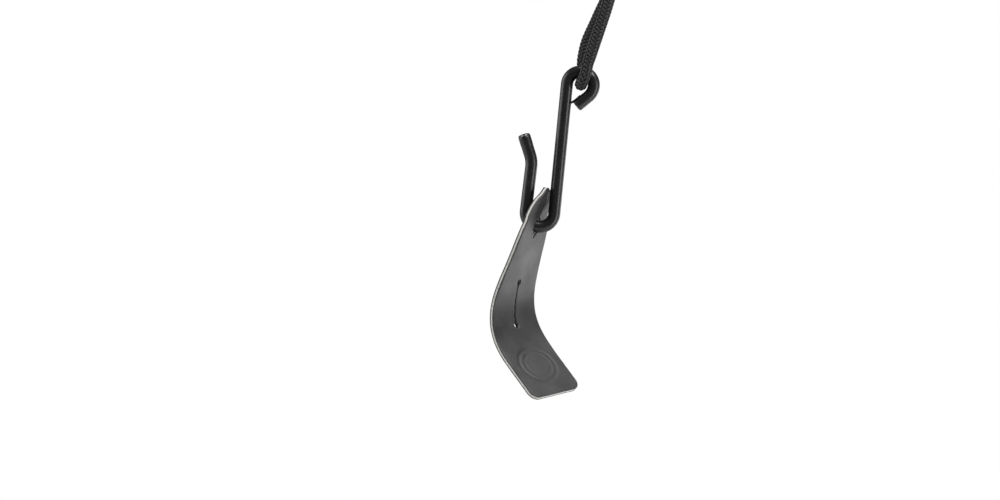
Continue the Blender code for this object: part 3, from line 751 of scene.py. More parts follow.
def make_stage():
    """A pale round floor below the hanging strap, and soft lights on both sides and above."""
    rim = [np.add(FLOOR_CENTRE, (FLOOR_RADIUS * np.cos(t), FLOOR_RADIUS * np.sin(t), 0))
           for t in full_turn(96)]
    paper = Look("floor_paper", (0.86, 0.86, 0.86), 0.9, specular=0.2)
    paper.bump(paper.noise(paper.place("Object"), 60, 4), 0.2 * MM, 0.2)
    mesh_object("floor", rim, [range(len(rim))], paper.material)
    aim = HOOK_TOP + LIGHT_AIM
    for name, turn, rise, size, power in LIGHTS:
        turn, rise = np.radians(turn), np.radians(rise)
        way = np.array((np.sin(turn) * np.cos(rise), -np.cos(turn) * np.cos(rise), np.sin(rise)))
        area_light(name, aim + LIGHT_DISTANCE * way, aim, size, power)
    make_world()
    bpy.context.scene.view_settings.view_transform = "Standard"


# ---- cords ----


def strand_parts(line, side, other, way, index, radius):
    """One strand of the braid: a flat yarn that winds round and dips under every second pair."""
    lengths = lengths_along(line)
    turn = way * 2 * np.pi * lengths / BRAID_LEAD + 2 * np.pi * index / BRAID_STRANDS
    lift = way * BRAID_WAVE * np.cos(BRAID_STRANDS / 2 * turn + np.pi / 4)
    middle = radius - BRAID_WAVE - STRAND_HALF_THICK
    spoke = np.cos(turn)[:, None] * side + np.sin(turn)[:, None] * other
    path = line + (middle + lift)[:, None] * spoke
    across = unit_rows(np.cross(unit_rows(np.gradient(path, axis=0)), spoke))
    corners = full_turn(STRAND_SIDES)
    wide = STRAND_HALF_WIDTH * np.cos(corners)
    thick = STRAND_HALF_THICK * np.sin(corners)
    points = path[:, None] + wide[:, None] * across[:, None] + thick[:, None] * spoke[:, None]
    uvs = grid_uvs(wide + index * 2 * MM, lengths * 2)
    return points.reshape(-1, 3), grid_faces(len(line), STRAND_SIDES), uvs


def braided_cord(name, route):
    """A braided cord on a smooth route: sixteen yarns over a dark core, in one mesh."""
    # Spaced twice: the first pass leaves shorter steps round the tight bends.
    line = resample(smooth_line(route, BRAID_STEP), BRAID_STEP)
    radius = squeezed_radius(line)
    _, side, other = carried_frames(line, (1.0, 0.2, 0.1))
    inner = radius - 2 * BRAID_WAVE - CORE_UNDER_BRAID
    core = tube_parts(line[::8], side[::8], other[::8], inner[::8], 12)
    strands = [strand_parts(line, side, other, way, index, radius)
               for way in (1, -1) for index in range(BRAID_STRANDS)]
    cord = joined(name, [core, *strands], CORD_LOOK)
    cord.data.materials.append(CORD_CORE_LOOK)
    looks = np.zeros(len(cord.data.polygons), np.int32)
    looks[:len(core[1])] = 1
    cord.data.polygons.foreach_set("material_index", looks)
    return cord, line


def lower_route():
    """The whole lower loop: down the near leg, under the eye's wire and up the far leg."""
    radius = COAT + CORD_IN_EYE + 0.1 * MM
    near = [ADJUSTER + (-INNER_HOLE_X, 0, LOWER_CORD_END)]
    far = [ADJUSTER + (INNER_HOLE_X, 0, LOWER_CORD_END)]
    for height, near_x, far_x, apart in LEGS:
        near.append(HOOK_TOP + (near_x, -apart * radius, height))
        far.append(HOOK_TOP + (far_x, apart * radius, height))
    first, last = LOOP_TURN
    arc = []
    for turn in np.radians(np.arange(0, 181, 22.5)):
        across = (first + last) / 2 + (first - last) / 2 * np.cos(turn)
        arc.append(HOOK_TOP + (across, -radius * np.cos(turn), -radius * np.sin(turn)))
    return [*near, *arc, *far[::-1]]


def squeezed_radius(line):
    """The cord's radius, less where it turns under the wire."""
    height = line[:, 2] - HOOK_TOP[2]
    return CORD_IN_EYE + (CORD - CORD_IN_EYE) * ease(height / SQUEEZE_FADE)


def make_lower_cord():
    cord, line = braided_cord("lower_cord", lower_route())
    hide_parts("lower_cord_left", "lower_cord_right", "cord_loop_end")
    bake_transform(cord)


# ---- hook ----


def hook_outline():
    """The wire's centre line as (p, q) from the centre of the bight, prong tip to the eye's end."""
    path = []

    def straight(start, end):
        path.extend(np.linspace(start, end, 24, endpoint=False))

    def arc(centre, radius, first, last):
        for t in np.linspace(first, last, 40, endpoint=False):
            path.append(np.add(centre, (radius * np.cos(t), radius * np.sin(t))))

    flare_centre = np.array((-BIGHT_RADIUS - FLARE_RADIUS, PRONG_LENGTH))
    bend_top = flare_centre + FLARE_RADIUS * np.array((np.cos(PRONG_FLARE), np.sin(PRONG_FLARE)))
    away = np.array((-np.sin(PRONG_FLARE), np.cos(PRONG_FLARE)))
    straight(bend_top + PRONG_TIP * away, bend_top)
    arc(flare_centre, FLARE_RADIUS, PRONG_FLARE, 0.0)
    straight((-BIGHT_RADIUS, PRONG_LENGTH), (-BIGHT_RADIUS, 0.0))
    lean, rise = np.sin(PRONG_CLOSE), np.cos(PRONG_CLOSE)
    path[:] = [np.array((u * rise + v * lean, v * rise - u * lean)) for u, v in path]
    arc((0.0, 0.0), BIGHT_RADIUS, np.pi - PRONG_CLOSE, 2 * np.pi)
    straight((BIGHT_RADIUS, 0.0), (BIGHT_RADIUS, SHANK_LENGTH))
    eye = np.array((BIGHT_RADIUS + EYE_RADIUS, SHANK_LENGTH))
    arc(eye, EYE_RADIUS, np.pi, 0.0)
    run = np.array((eye[0] + EYE_RADIUS - EYE_RUN_RADIUS, SHANK_LENGTH))
    arc(run, EYE_RUN_RADIUS, 0.0, -EYE_RUN_TURN)
    start = run + EYE_RUN_RADIUS * np.array((np.cos(EYE_RUN_TURN), -np.sin(EYE_RUN_TURN)))
    heading = np.array((-np.sin(EYE_RUN_TURN), -np.cos(EYE_RUN_TURN)))
    straight(start, start + EYE_RUN_LENGTH * heading)
    path.append(start + EYE_RUN_LENGTH * heading)
    return np.array(path)


def make_spare_strip(look):
    """The thin strip of spare coating from the edge of the cut end over to the shank."""
    places = [EYE + MM * (across * HOOK_P + up * HOOK_Q + (0, y, 0)) for across, up, y in STRIP]
    line = smooth_line(places, 0.15 * MM)
    _, side, other = carried_frames(line, (0.0, 1.0, 0.0))
    thinner = 1 - 0.25 * np.sin(np.pi * np.linspace(0, 1, len(line))) ** 2
    points, faces, uvs = tube_parts(line, side, other, STRIP_RADIUS * thinner, 12)
    return mesh_object("hook_coating_strip", points, faces, look, uvs)


def tilted_tip(points, tip, ahead):
    """The coating's points with its cut tip turned a little towards the camera's side."""
    away = points - tip
    forward = away @ np.array((0.0, -1.0, 0.0))
    tilt = np.tan(TIP_TILT) * forward * (1 - ease(away @ ahead / TIP_TILT_FADE))
    near = np.linalg.norm(away, axis=1) < TIP_REGION
    return points + np.where(near, tilt, 0.0)[:, None] * ahead


def make_hook():
    """The coated wire as one smooth tube: a cut, softly rounded tip and an open cut end."""
    outline = hook_outline()
    bight = EYE - (BIGHT_RADIUS + EYE_RADIUS) * HOOK_P - SHANK_LENGTH * HOOK_Q
    line = resample(bight + outline[:, :1] * HOOK_P + outline[:, 1:] * HOOK_Q, 0.4 * MM)
    along, side, other = carried_frames(line, np.cross(HOOK_P, HOOK_Q))
    turns = np.radians((0, 30, 60, 90))
    tip = np.array([line[0] + TIP_ROUND * (1 - np.sin(t)) * along[0] for t in turns[::-1]])
    tip_radii = [COAT - TIP_ROUND * (1 - np.cos(t)) for t in turns[::-1]]
    keep = lengths_along(line) > TIP_ROUND + 0.1 * MM
    body = line[keep]
    lengths = lengths_along(body)
    body_radii = COAT + TIP_LAYER * (1 - ease((lengths - TIP_LAYER_END) / (0.25 * MM)))
    body_radii -= END_ROUND * ease((lengths - lengths[-1] + END_ROUND) / END_ROUND) ** 3
    mouth = np.array([body[-1] + reach * along[-1] for reach, _ in MOUTH])
    full = np.concatenate([tip, body, mouth])
    radii = np.concatenate([tip_radii, body_radii, [BORE + wider for _, wider in MOUTH]])
    # Which point of the line each ring takes its directions from.
    before, after = np.zeros(len(tip), int), np.full(len(mouth), len(line) - 1)
    rows = np.concatenate([before, np.flatnonzero(keep), after])
    points, faces, uvs = tube_parts(full, side[rows], other[rows], radii, 40)
    points = tilted_tip(points, line[0], along[0])
    look = coat_look()
    carried(mesh_object("hook_coating", points, faces, look, uvs), "hook_coat", "hook", "hook_coat")
    carried(make_spare_strip(look), "hook_coat", "hook")


# ---- leather plates: flat outlines with holes, mapped onto a curved surface ----


def inside(points, loop):
    """Which of the points lie inside a closed loop."""
    x, y = points[:, 0], points[:, 1]
    found = np.zeros(len(points), bool)
    for (ax, ay), (bx, by) in zip(loop, np.roll(loop, -1, axis=0)):
        crosses = (ay > y) != (by > y)
        with np.errstate(divide="ignore", invalid="ignore"):
            found ^= crosses & (x < (bx - ax) * (y - ay) / (by - ay) + ax)
    return found


def distance_to(points, loop):
    """Distance from each point to the nearest corner of a loop."""
    return np.sqrt(((points[:, None] - loop[None]) ** 2).sum(-1)).min(1)


def loop_normals(loop):
    """Outward directions at the corners of a loop that runs anticlockwise."""
    along = np.roll(loop, -1, axis=0) - np.roll(loop, 1, axis=0)
    return unit_rows(np.stack([along[:, 1], -along[:, 0]], axis=1))


def spaced(loop, step):
    """A closed loop with its corners kept and its long sides divided."""
    made = []
    for a, b in zip(loop, np.roll(loop, -1, axis=0)):
        count = max(1, int(np.ceil(np.linalg.norm(b - a) / step)))
        made.extend(a + (b - a) * t for t in np.linspace(0, 1, count, endpoint=False))
    return np.array(made)


def anticlockwise(loop):
    loop = np.asarray(loop, float)
    nxt = np.roll(loop, -1, axis=0)
    area = (loop[:, 0] * nxt[:, 1] - nxt[:, 0] * loop[:, 1]).sum()
    return loop if area > 0 else loop[::-1]


def flat_triangles(outer, holes, step):
    """Points and triangles that fill a loop but not its holes. The loops' points come first."""
    loops = [outer, *holes]
    low, high = outer.min(0), outer.max(0)
    xs = np.arange(low[0], high[0], step)
    ys = np.arange(low[1], high[1], step * 0.87)
    grid = np.array([(x + (row % 2) * step / 2, y) for row, y in enumerate(ys) for x in xs])
    keep = inside(grid, outer) & (distance_to(grid, outer) > 0.55 * step)
    for hole in holes:
        keep &= ~inside(grid, hole) & (distance_to(grid, hole) > 0.55 * step)
    points = np.concatenate([*loops, grid[keep]])
    edges, first = [], 0
    for loop in loops:
        count = len(loop)
        edges += [(first + i, first + (i + 1) % count) for i in range(count)]
        first += count
    made = delaunay_2d_cdt([Vector(p * 1000) for p in points], edges, [], 0, 1e-6)
    where = np.array([v[:] for v in made[0]]) / 1000
    faces = np.array([face for face in made[2] if len(face) == 3])
    middles = where[faces].mean(1)
    filled = inside(middles, outer)
    for hole in holes:
        filled &= ~inside(middles, hole)
    if len(where) != len(points):
        raise ValueError("two points of a plate lie too close together")
    return where, faces[filled], [len(loop) for loop in loops]


def plate(name, outer, holes, step, levels, surface, look, relief=None):
    """A solid plate. levels are (out from the outline, height) rows from its top to its bottom.
    surface maps (s, u, height) onto the row frame, and relief lowers the top at (s, u)."""
    outer = spaced(anticlockwise(outer), step)
    holes = [spaced(anticlockwise(hole), step) for hole in holes]
    flat, triangles, counts = flat_triangles(outer, holes, step)
    rim = sum(counts)
    normals = np.concatenate([loop_normals(outer), *[-loop_normals(hole) for hole in holes]])
    corner = flat[triangles[:, 0]]
    ab, ac = flat[triangles[:, 1]] - corner, flat[triangles[:, 2]] - corner
    clockwise = ab[:, 0] * ac[:, 1] - ab[:, 1] * ac[:, 0] < 0
    triangles[clockwise] = triangles[clockwise][:, ::-1]
    top, bottom = levels[0][1], levels[-1][1]
    heights = np.full(len(flat), top)
    if relief is not None:
        heights = heights - relief(flat[:, 0], flat[:, 1])
    rows = [np.column_stack([flat, heights])]
    for out, height in levels[1:-1]:
        rows.append(np.column_stack([flat[:rim] + out * normals, np.full(rim, height)]))
    rows.append(np.column_stack([flat, np.full(len(flat), bottom)]))
    faces = list(triangles)
    starts = np.concatenate([[0], np.cumsum([len(r) for r in rows])])
    for upper, lower in zip(starts[:-2], starts[1:-1]):
        first = 0
        for index, count in enumerate(counts):
            for i in range(count):
                j = (i + 1) % count
                quad = (upper + first + i, lower + first + i, lower + first + j, upper + first + j)
                faces.append(quad if index == 0 else quad[::-1])
            first += count
    faces += list(triangles[:, ::-1] + starts[-2])
    everything = np.concatenate(rows)
    points = surface(everything[:, 0], everything[:, 1], everything[:, 2])
    return mesh_object(name, points, faces, look, everything[:, :2])


# ---- leather tab ----

TAB_AT = np.array((1.38 * MM, WIRE_REST[1], -380.93 * MM))  # its middle beside the wire
TAB_TOP = -12.9 * MM
TAB_TIP = (-10.7 * MM, 2.2 * MM)  # where the rounded tip starts, and its length
TAB_BOTTOM = 58.4 * MM
TAB_HALF_WIDTH = 10.8 * MM
TAB_TAPER_FROM = 6.0 * MM
TAB_TAPER_LENGTH = 19.5 * MM
TAB_TAPER_SHAPE = (1.6, 0.6)
TAB_CORNER = 3.0 * MM
TAB_THICK = 1.5 * MM
TAB_SKIN = 0.42 * MM
TAB_EDGE = 0.22 * MM  # the rounding of its skins' edges
CORE_RECESS = 0.05 * MM
TAB_TIP_UP = (-0.15, 0.06, 0.98)
TAB_UPPER_DOWN = (0.034, 0.092, -0.993)
TAB_LOWER_DOWN = (0.665, -0.336, -0.45)
TAB_BEND = (13.7 * MM, 46.2 * MM)
TAB_TIP_ACROSS = (0.12, 0.98, 0.05)
TAB_UPPER_ACROSS = (0.35, 0.913, 0.0)
TAB_LOWER_ACROSS = (0.632, 0.688, 0.317)
TAB_TWIST = (0 * MM, 43.7 * MM)
SLIT_TOP = -10.8 * MM
SLIT_LINE = -0.7 * MM  # where the slit runs, across the tab
SLIT_MOUTH = (-3.4 * MM, 2.3 * MM)  # the part that the wire holds open
SLIT_MOUTH_HALF_WIDTH = 2.65 * MM
RELIEF_NOTCH = (3.3 * MM, 0.45 * MM)  # its lowest point and half width
LIP_INNER = 1.45 * MM  # how far the wire lifts the near lip, at the slit
LIP_OUTER = 1.35 * MM  # and at the tab's edge, near the tip
LIP_SAG = 0.45 * MM  # how far that edge falls back beside the wire
FAR_LIP_INNER = 0.9 * MM
FAR_LIP_FLARE = 1.3 * MM  # how far the far lip leans over behind the shank
THUMB_SLIT = (17.9 * MM, 31.8 * MM)
THUMB_HOLE = 0.95 * MM
# Down the slit and half of its opening there, in mm.
THUMB_OPENING = ((20, 0.16), (22, 0.18), (24, 0.24), (26, 0.36), (28, 0.42), (30, 0.38))
THUMB_RECESS = 0.45 * MM  # how far the raw core stands back from it
MARK_AT = 47.0 * MM
MARK_RADII = (6.2 * MM, 7.0 * MM)
MARK_DEPTH = 0.15 * MM
WAVE_DEPTH = 0.035 * MM


def blend_unit(a, b, t):
    return unit(unit(a) * (1 - t) + unit(b) * t)


def tab_heading(s):
    if s < 0:
        return blend_unit(TAB_UPPER_DOWN, np.negative(TAB_TIP_UP), ease(-s / (3 * MM)))
    first, last = TAB_BEND
    return blend_unit(TAB_UPPER_DOWN, TAB_LOWER_DOWN, ease((s - first) / (last - first)))


def tab_across(s):
    if s < 0:
        return blend_unit(TAB_UPPER_ACROSS, TAB_TIP_ACROSS, s / TAB_TOP)
    first, last = TAB_TWIST
    return blend_unit(TAB_UPPER_ACROSS, TAB_LOWER_ACROSS, ease((s - first) / (last - first)))


def lip_lift(s, u):
    """How far the wire has pushed the leather beside the slit out of its plane."""
    inner = LIP_INNER * ease((0.5 * MM - s) / (10 * MM))
    outer = LIP_OUTER * ease((-7.9 * MM - s) / (5 * MM)) - LIP_SAG * ease(-s / (3.5 * MM))
    away = np.clip((SLIT_LINE - u) / (7 * MM), 0, 1)
    near_lip = inner * (1 - away) + outer * away
    met = FAR_LIP_INNER * ease((-7.5 * MM - s) / (3.3 * MM))
    flare = ease((u - 0.5 * MM) / (3.5 * MM)) * ease((-3 * MM - s) / (6 * MM))
    return np.where(u < SLIT_LINE, near_lip, met + FAR_LIP_FLARE * flare)


def tab_surface():
    """Maps (s, u, height) on the tab to the row frame."""
    step = 0.1 * MM
    fine = np.arange(TAB_TOP - 1 * MM, TAB_BOTTOM + 1 * MM, step)
    headings = np.array([tab_heading(s) for s in fine])
    line = np.concatenate([[np.zeros(3)], np.cumsum(headings[:-1] * step, axis=0)])
    line += TAB_AT - between(0.0, fine, line)
    across = np.array([tab_across(s) for s in fine])
    across = unit_rows(across - (across * headings).sum(1)[:, None] * headings)
    flat = strip_surface(fine, line, across, np.cross(headings, across))
    return lambda s, u, height: flat(s, u, height + lip_lift(s, u))


def tab_half_width(s):
    half = TAB_HALF_WIDTH
    tip, tip_length = TAB_TIP
    power, root = TAB_TAPER_SHAPE
    if s < TAB_TAPER_FROM:
        u = (TAB_TAPER_FROM - max(s, tip)) / TAB_TAPER_LENGTH
        half *= (1 - min(u, 1.0) ** power) ** root
    if s < tip:
        half *= np.sqrt(max(1 - ((tip - s) / tip_length) ** 2, 0.0))
    into = s - (TAB_BOTTOM - TAB_CORNER)
    if into > 0:
        half -= TAB_CORNER - np.sqrt(max(TAB_CORNER**2 - into**2, 0.0))
    return half


def tab_outline(inset):
    """The tab's outline as (s, u), brought in by inset."""
    top, bottom = TAB_TOP + inset, TAB_BOTTOM - inset
    corner = TAB_CORNER - inset
    places = list(np.linspace(top + 0.02 * MM, bottom - corner, 150))
    places += [bottom - corner + corner * np.sin(t) for t in np.radians(np.arange(9, 91, 9))]
    right = []
    for s in places:
        into = s - (bottom - corner)
        half = tab_half_width(min(s, TAB_BOTTOM - TAB_CORNER)) - inset
        if into > 0:
            half -= corner - np.sqrt(max(corner**2 - into**2, 0.0))
        right.append((s, max(half, 0.5 * MM)))
    return np.array(right + [(s, -v) for s, v in right[::-1]])


def slit_outline(grow):
    """The hook's slit: closed above, held open by the wire, with a small notch below it."""
    first, last = SLIT_MOUTH
    middle, reach = (first + last) / 2, (last - first) / 2
    notch, notch_half = RELIEF_NOTCH
    sides = []
    for side in (1, -1):
        closed = np.linspace(SLIT_TOP, first - 0.6 * MM, 14)
        edge = [(s, SLIT_LINE + side * 0.08 * MM) for s in closed]
        for turn in np.radians(np.arange(155, 24, -10)):
            half = side * SLIT_MOUTH_HALF_WIDTH * np.sin(turn)
            edge.append((middle + reach * np.cos(turn), half))
        edge.append((last + 0.1 * MM, side * notch_half))
        edge.append((notch - 0.3 * MM, side * notch_half))
        edge.append((notch, side * notch_half / 2))
        sides.append(edge)
    loop = anticlockwise(sides[0] + sides[1][::-1])
    return loop + grow * loop_normals(loop)


def thumb_outline(grow):
    """A thin slit between two punched holes, a little open towards the lower one."""
    first, last = THUMB_SLIT

    def hole(middle, turns):
        turns = np.radians(turns)
        return [(middle - THUMB_HOLE * np.sin(t), THUMB_HOLE * np.cos(t)) for t in turns]

    right = hole(first, (90, 65, 40, 15, -10, -35, -60))
    right += [(s * MM, half * MM) for s, half in THUMB_OPENING]
    right += hole(last, (60, 35, 10, -15, -40, -65, -90))
    loop = anticlockwise(right + [(s, -u) for s, u in right[-2:0:-1]])
    return loop + grow * loop_normals(loop)


def tab_mark(s, u):
    """A plain pressed oval with a fainter one inside it, and the soft waves of worn leather."""
    along, across = MARK_RADII
    far = np.sqrt(((s - MARK_AT) / along) ** 2 + (u / across) ** 2)
    ring = np.exp(-(((far - 1) / 0.055) ** 2))
    inner = np.exp(-(((far - 0.72) / 0.04) ** 2)) * 0.6
    waves = np.sin(s / (2.3 * MM) + 1.5 * np.sin(u / (4 * MM)))
    waves *= np.sin(u / (3.1 * MM) + s / (9 * MM))
    return MARK_DEPTH * (ring + inner) + WAVE_DEPTH * waves


def make_tab():
    """The tab's two black skins and the raw core between them."""
    surface = tab_surface()
    half, edge = TAB_THICK / 2, TAB_EDGE
    core = half - TAB_SKIN
    seam = core + 0.01 * MM
    rounded = [(out, half - drop) for out, drop in rounding(edge, (15, 35, 55, 75, 90))]
    front = [(0.0, half), *rounded, (edge, seam), (0.0, seam)]
    back = [(out, -height) for out, height in front[::-1]]
    side = edge - CORE_RECESS
    middle = [(0.0, core), (side, core), (side - 0.03 * MM, core * 0.3),
              (side - 0.01 * MM, -core * 0.4), (side, -core), (0.0, -core)]
    leather, raw = leather_look(), raw_leather_look()
    for name, node, slot, rows, recess, look, relief in (
        ("tab_leather_front", "tab_front", "tab_leather", front, 0.0, leather, tab_mark),
        ("tab_leather_back", "tab_back", "tab_leather", back, 0.0, leather, None),
        ("tab_raw_core", "tab_core", "tab_core", middle, THUMB_RECESS, raw, None),
    ):
        holes = [slit_outline(edge), thumb_outline(edge + recess)]
        ply = plate(name, tab_outline(edge), holes, 0.5 * MM, rows, surface, look, relief)
        carried(sharpen(ply, 50), slot, "leather_tab", node)


# ---- neck band ----


def mirrored(points):
    """Left half and right half of a line that is given from the nape to the right end."""
    left = [(-x, y, z) for x, y, z in points[:0:-1]]
    return np.array(left + list(points))


def band_parts():
    """Fine places along the band's line, from -1 to 1, with its length and its surface there."""
    places = np.linspace(-1, 1, 801)
    line, ways = mirrored(BAND_LINE), mirrored(BAND_OUT)
    shares = (places + 1) / 2
    centres = np.array([spline(line, t) for t in shares])
    ahead = np.array([spline(line, min(t + 0.004, 1)) for t in shares])
    behind = np.array([spline(line, max(t - 0.004, 0)) for t in shares])
    along = unit_rows(ahead - behind)
    out = np.array([spline(ways, t) for t in shares])
    out = unit_rows(out - (out * along).sum(1)[:, None] * along)
    lengths = lengths_along(centres)
    lengths -= lengths[-1] / 2
    return places, lengths, strip_surface(lengths, centres, np.cross(along, out), out), out


PLACES, LENGTHS, BAND, OUTWARD = band_parts()


def length_at(place):
    return float(np.interp(place, PLACES, LENGTHS))


BAND_FIRST, BAND_LAST = length_at(-BAND_END), length_at(BAND_END)


def outward_at(s):
    return between(s, LENGTHS, OUTWARD)


def towards_end(s):
    """How far along the band s lies: 0 at the nape and 1 at either end."""
    return abs(np.interp(s, LENGTHS, PLACES))


def band_half_width(s):
    nape, end = BAND_HALF_WIDTH
    return nape + (end - nape) * ease(towards_end(s))


def crown_height(s):
    nape, end = PADDING
    return COVER_OVER_PADDING + nape + (end - nape) * ease(towards_end(s))


def cover_height(s, u):
    """The unfilled cover's height: crowned, pinched at its edges, dipping along its seams."""
    half = band_half_width(s)
    share = ease(towards_end(s) / END_TAB_START)
    power = 2.6 + 4.4 * share
    crown = 1 - np.minimum(abs(u) / half, 1) ** power
    dip = SEAM_DIP * np.exp(-(((abs(u) - half + SEAM_IN) / (0.9 * MM)) ** 2))
    return EDGE_HEIGHT + (crown_height(s) - EDGE_HEIGHT) * crown - dip * (1 - share)


def cover_ring(s):
    """The cover's cross-section: its underside, then its top from one edge to the other."""
    half = band_half_width(s) - 0.2 * MM
    outer = [half - e * MM for e in COVER_EDGE_COLUMNS]
    middle = np.linspace(outer[-1], -outer[-1], 11)[1:-1]
    top = [*outer, *middle, *[-u for u in outer[::-1]]]
    ring = [(u, LINING + 0.1 * MM) for u in np.linspace(-half, half, COVER_UNDERSIDE)]
    return ring + [(u, cover_height(s, u)) for u in top]


def filled(cover, held):
    """The cover blown up a little from inside by cloth simulation, held at some of its points."""
    scene = bpy.context.scene
    start = np.array([v.co[:] for v in cover.data.vertices])
    group = cover.vertex_groups.new(name="sewn")
    group.add([int(i) for i in np.flatnonzero(held)], 1.0, "REPLACE")
    cloth = cover.modifiers.new("cloth", "CLOTH")
    for key, value in CLOTH.items():
        setattr(cloth.settings, key, value)
    cloth.settings.vertex_group_mass = "sewn"
    cloth.settings.effector_weights.gravity = 0.0
    cloth.collision_settings.use_collision = False
    cloth.point_cache.frame_start, cloth.point_cache.frame_end = 1, CLOTH_FRAMES
    for at in range(1, CLOTH_FRAMES + 1):
        scene.frame_set(at)
    graph = bpy.context.evaluated_depsgraph_get()
    swollen = np.array([v.co[:] for v in cover.evaluated_get(graph).data.vertices])
    cover.modifiers.remove(cloth)
    scene.frame_set(1)
    moved = swollen - start
    far = np.linalg.norm(moved, axis=1)
    moved *= (np.minimum(far, MOST_SWELL) / np.maximum(far, 1e-9))[:, None]
    cover.data.vertices.foreach_set("co", (start + moved).ravel())
    cover.data.update()


def subdivided(obj):
    """The object with one level of subdivision made part of its mesh."""
    obj.modifiers.new("smooth", "SUBSURF").levels = 1
    graph = bpy.context.evaluated_depsgraph_get()
    made = bpy.data.meshes.new_from_object(obj.evaluated_get(graph))
    obj.modifiers.clear()
    obj.data = made
    obj.data.shade_smooth()
    return obj


def make_cover():
    rows = np.linspace(BAND_FIRST, BAND_LAST, int((BAND_LAST - BAND_FIRST) / COVER_STEP))
    cover = facing_out(swept("band_cover_padded", BAND, rows, cover_ring, band_leather_look()))
    count = len(cover_ring(0.0))
    row, column = np.divmod(np.arange(len(rows) * count), count)
    from_left, from_right = column - COVER_UNDERSIDE, count - 1 - column
    seam = np.isin(from_left, COVER_SEWN) | np.isin(from_right, COVER_SEWN)
    by_end_tab = abs(rows) > length_at(END_TAB_START) - 6 * MM
    filled(cover, (column < COVER_UNDERSIDE) | seam | by_end_tab[row])
    subdivided(cover)
    return cover


def make_padding():
    """The foam between the lining and the cover, a little smaller than the space it fills."""
    rows = np.linspace(BAND_FIRST + 1 * MM, BAND_LAST - 1 * MM, 120)
    low = LINING + FOAM_GAP

    def ring(s):
        half = band_half_width(s) - 3.6 * MM
        top = np.linspace(half, -half, 21)
        crown = np.maximum(cover_height(s, top) - 2 * FOAM_GAP, low + FOAM_GAP)
        return [(-half, low), (half, low), *zip(top, crown)]

    return facing_out(swept("band_padding_foam", BAND, rows, ring, foam_look()))


def make_lining():
    rows = np.linspace(BAND_FIRST, BAND_LAST, 150)
    soft, high = 0.35 * MM, LINING - 0.1 * MM

    def ring(s):
        half = band_half_width(s) - 0.3 * MM
        low = [(u, 0.0) for u in np.linspace(-half + soft, half - soft, 15)]
        return [*low, (half, soft), (half, high), (-half, high), (-half, soft)]

    return facing_out(swept("band_lining_mesh", BAND, rows, ring, mesh_fabric_look()))


def make_binding(name, side):
    """Tape folded round one edge of the band."""
    rows = np.linspace(BAND_FIRST, BAND_LAST, 220)
    thick, reach = BINDING_THICK, BINDING_REACH
    bends = np.radians(np.arange(-90, 91, 15))

    def ring(s):
        edge = band_half_width(s) - 0.1 * MM
        top = cover_height(s, edge - reach)
        high = max(EDGE_HEIGHT, cover_height(s, edge - 1 * MM))
        middle = high / 2
        halfway, between_tops = edge - reach / 2, (high + top) / 2

        def bend(turns, out, grow):
            return [(edge + out * np.cos(t), middle + (middle + grow) * np.sin(t)) for t in turns]

        outer = [(edge - reach, -thick), (halfway, -thick), *bend(bends, thick + 0.2 * MM, thick),
                 (halfway, between_tops + thick * 1.1), (edge - reach, top + thick)]
        inner = [(edge - reach, top - 0.1 * MM), (halfway, between_tops),
                 *bend(bends[::-2], 0.15 * MM, 0.0),
                 (halfway, 0.05 * MM), (edge - reach, 0.05 * MM)]
        return [(side * u, v) for u, v in outer + inner]

    return sharpen(facing_out(swept(name, BAND, rows, ring, webbing_look())), 55)


def make_band_stitches(look):
    """Thread along both tapes, above and below, and along the cover's two seams."""
    on_tape, on_cover = [], []
    inner_end = length_at(END_TAB_START) - 4 * MM
    inner_start = length_at(-END_TAB_START) + 4 * MM
    for side in (1, -1):
        s = np.arange(BAND_FIRST + 2 * MM, BAND_LAST - 2 * MM, 1.5 * MM)
        u = side * (band_half_width(s) - BINDING_REACH + 0.8 * MM)
        top = cover_height(s, u) + BINDING_THICK + 0.12 * MM
        on_tape.append((BAND(s, u, top), outward_at(s)))
        on_tape.append((BAND(s, u, -BINDING_THICK), -outward_at(s)))
        s = np.arange(inner_start, inner_end, 1.5 * MM)
        u = side * (band_half_width(s) - SEAM_IN - 0.2 * MM)
        on_cover.append((BAND(s, u, cover_height(s, u) + 0.08 * MM), outward_at(s)))
    return stitches("binding_stitches", on_tape, look), stitches("cover_stitches", on_cover, look)


def end_tab_outline(side, inset):
    """The end tab's outline: square where it starts, round at its end."""
    start, end = length_at(END_TAB_START) + inset, length_at(1.0) - inset
    half, corner = END_TAB_HALF_WIDTH - inset, 1.5 * MM
    right = [(start + corner * (1 - np.sin(t)), half - corner * (1 - np.cos(t)))
             for t in np.radians((90, 60, 30, 0))]
    right += [(s, half) for s in np.linspace(start + 3 * MM, end - half - 1 * MM, 8)]
    right += [(end - half + half * np.sin(t), half * np.cos(t))
              for t in np.radians(np.arange(0, 90, 7.5))]
    loop = right + [(end, 0.0)] + [(s, -u) for s, u in right[::-1]]
    return np.array([(side * s, u) for s, u in loop])


def circle(place, radius):
    turns = full_turn(40)
    return np.column_stack([place + radius * np.cos(turns), radius * np.sin(turns)])


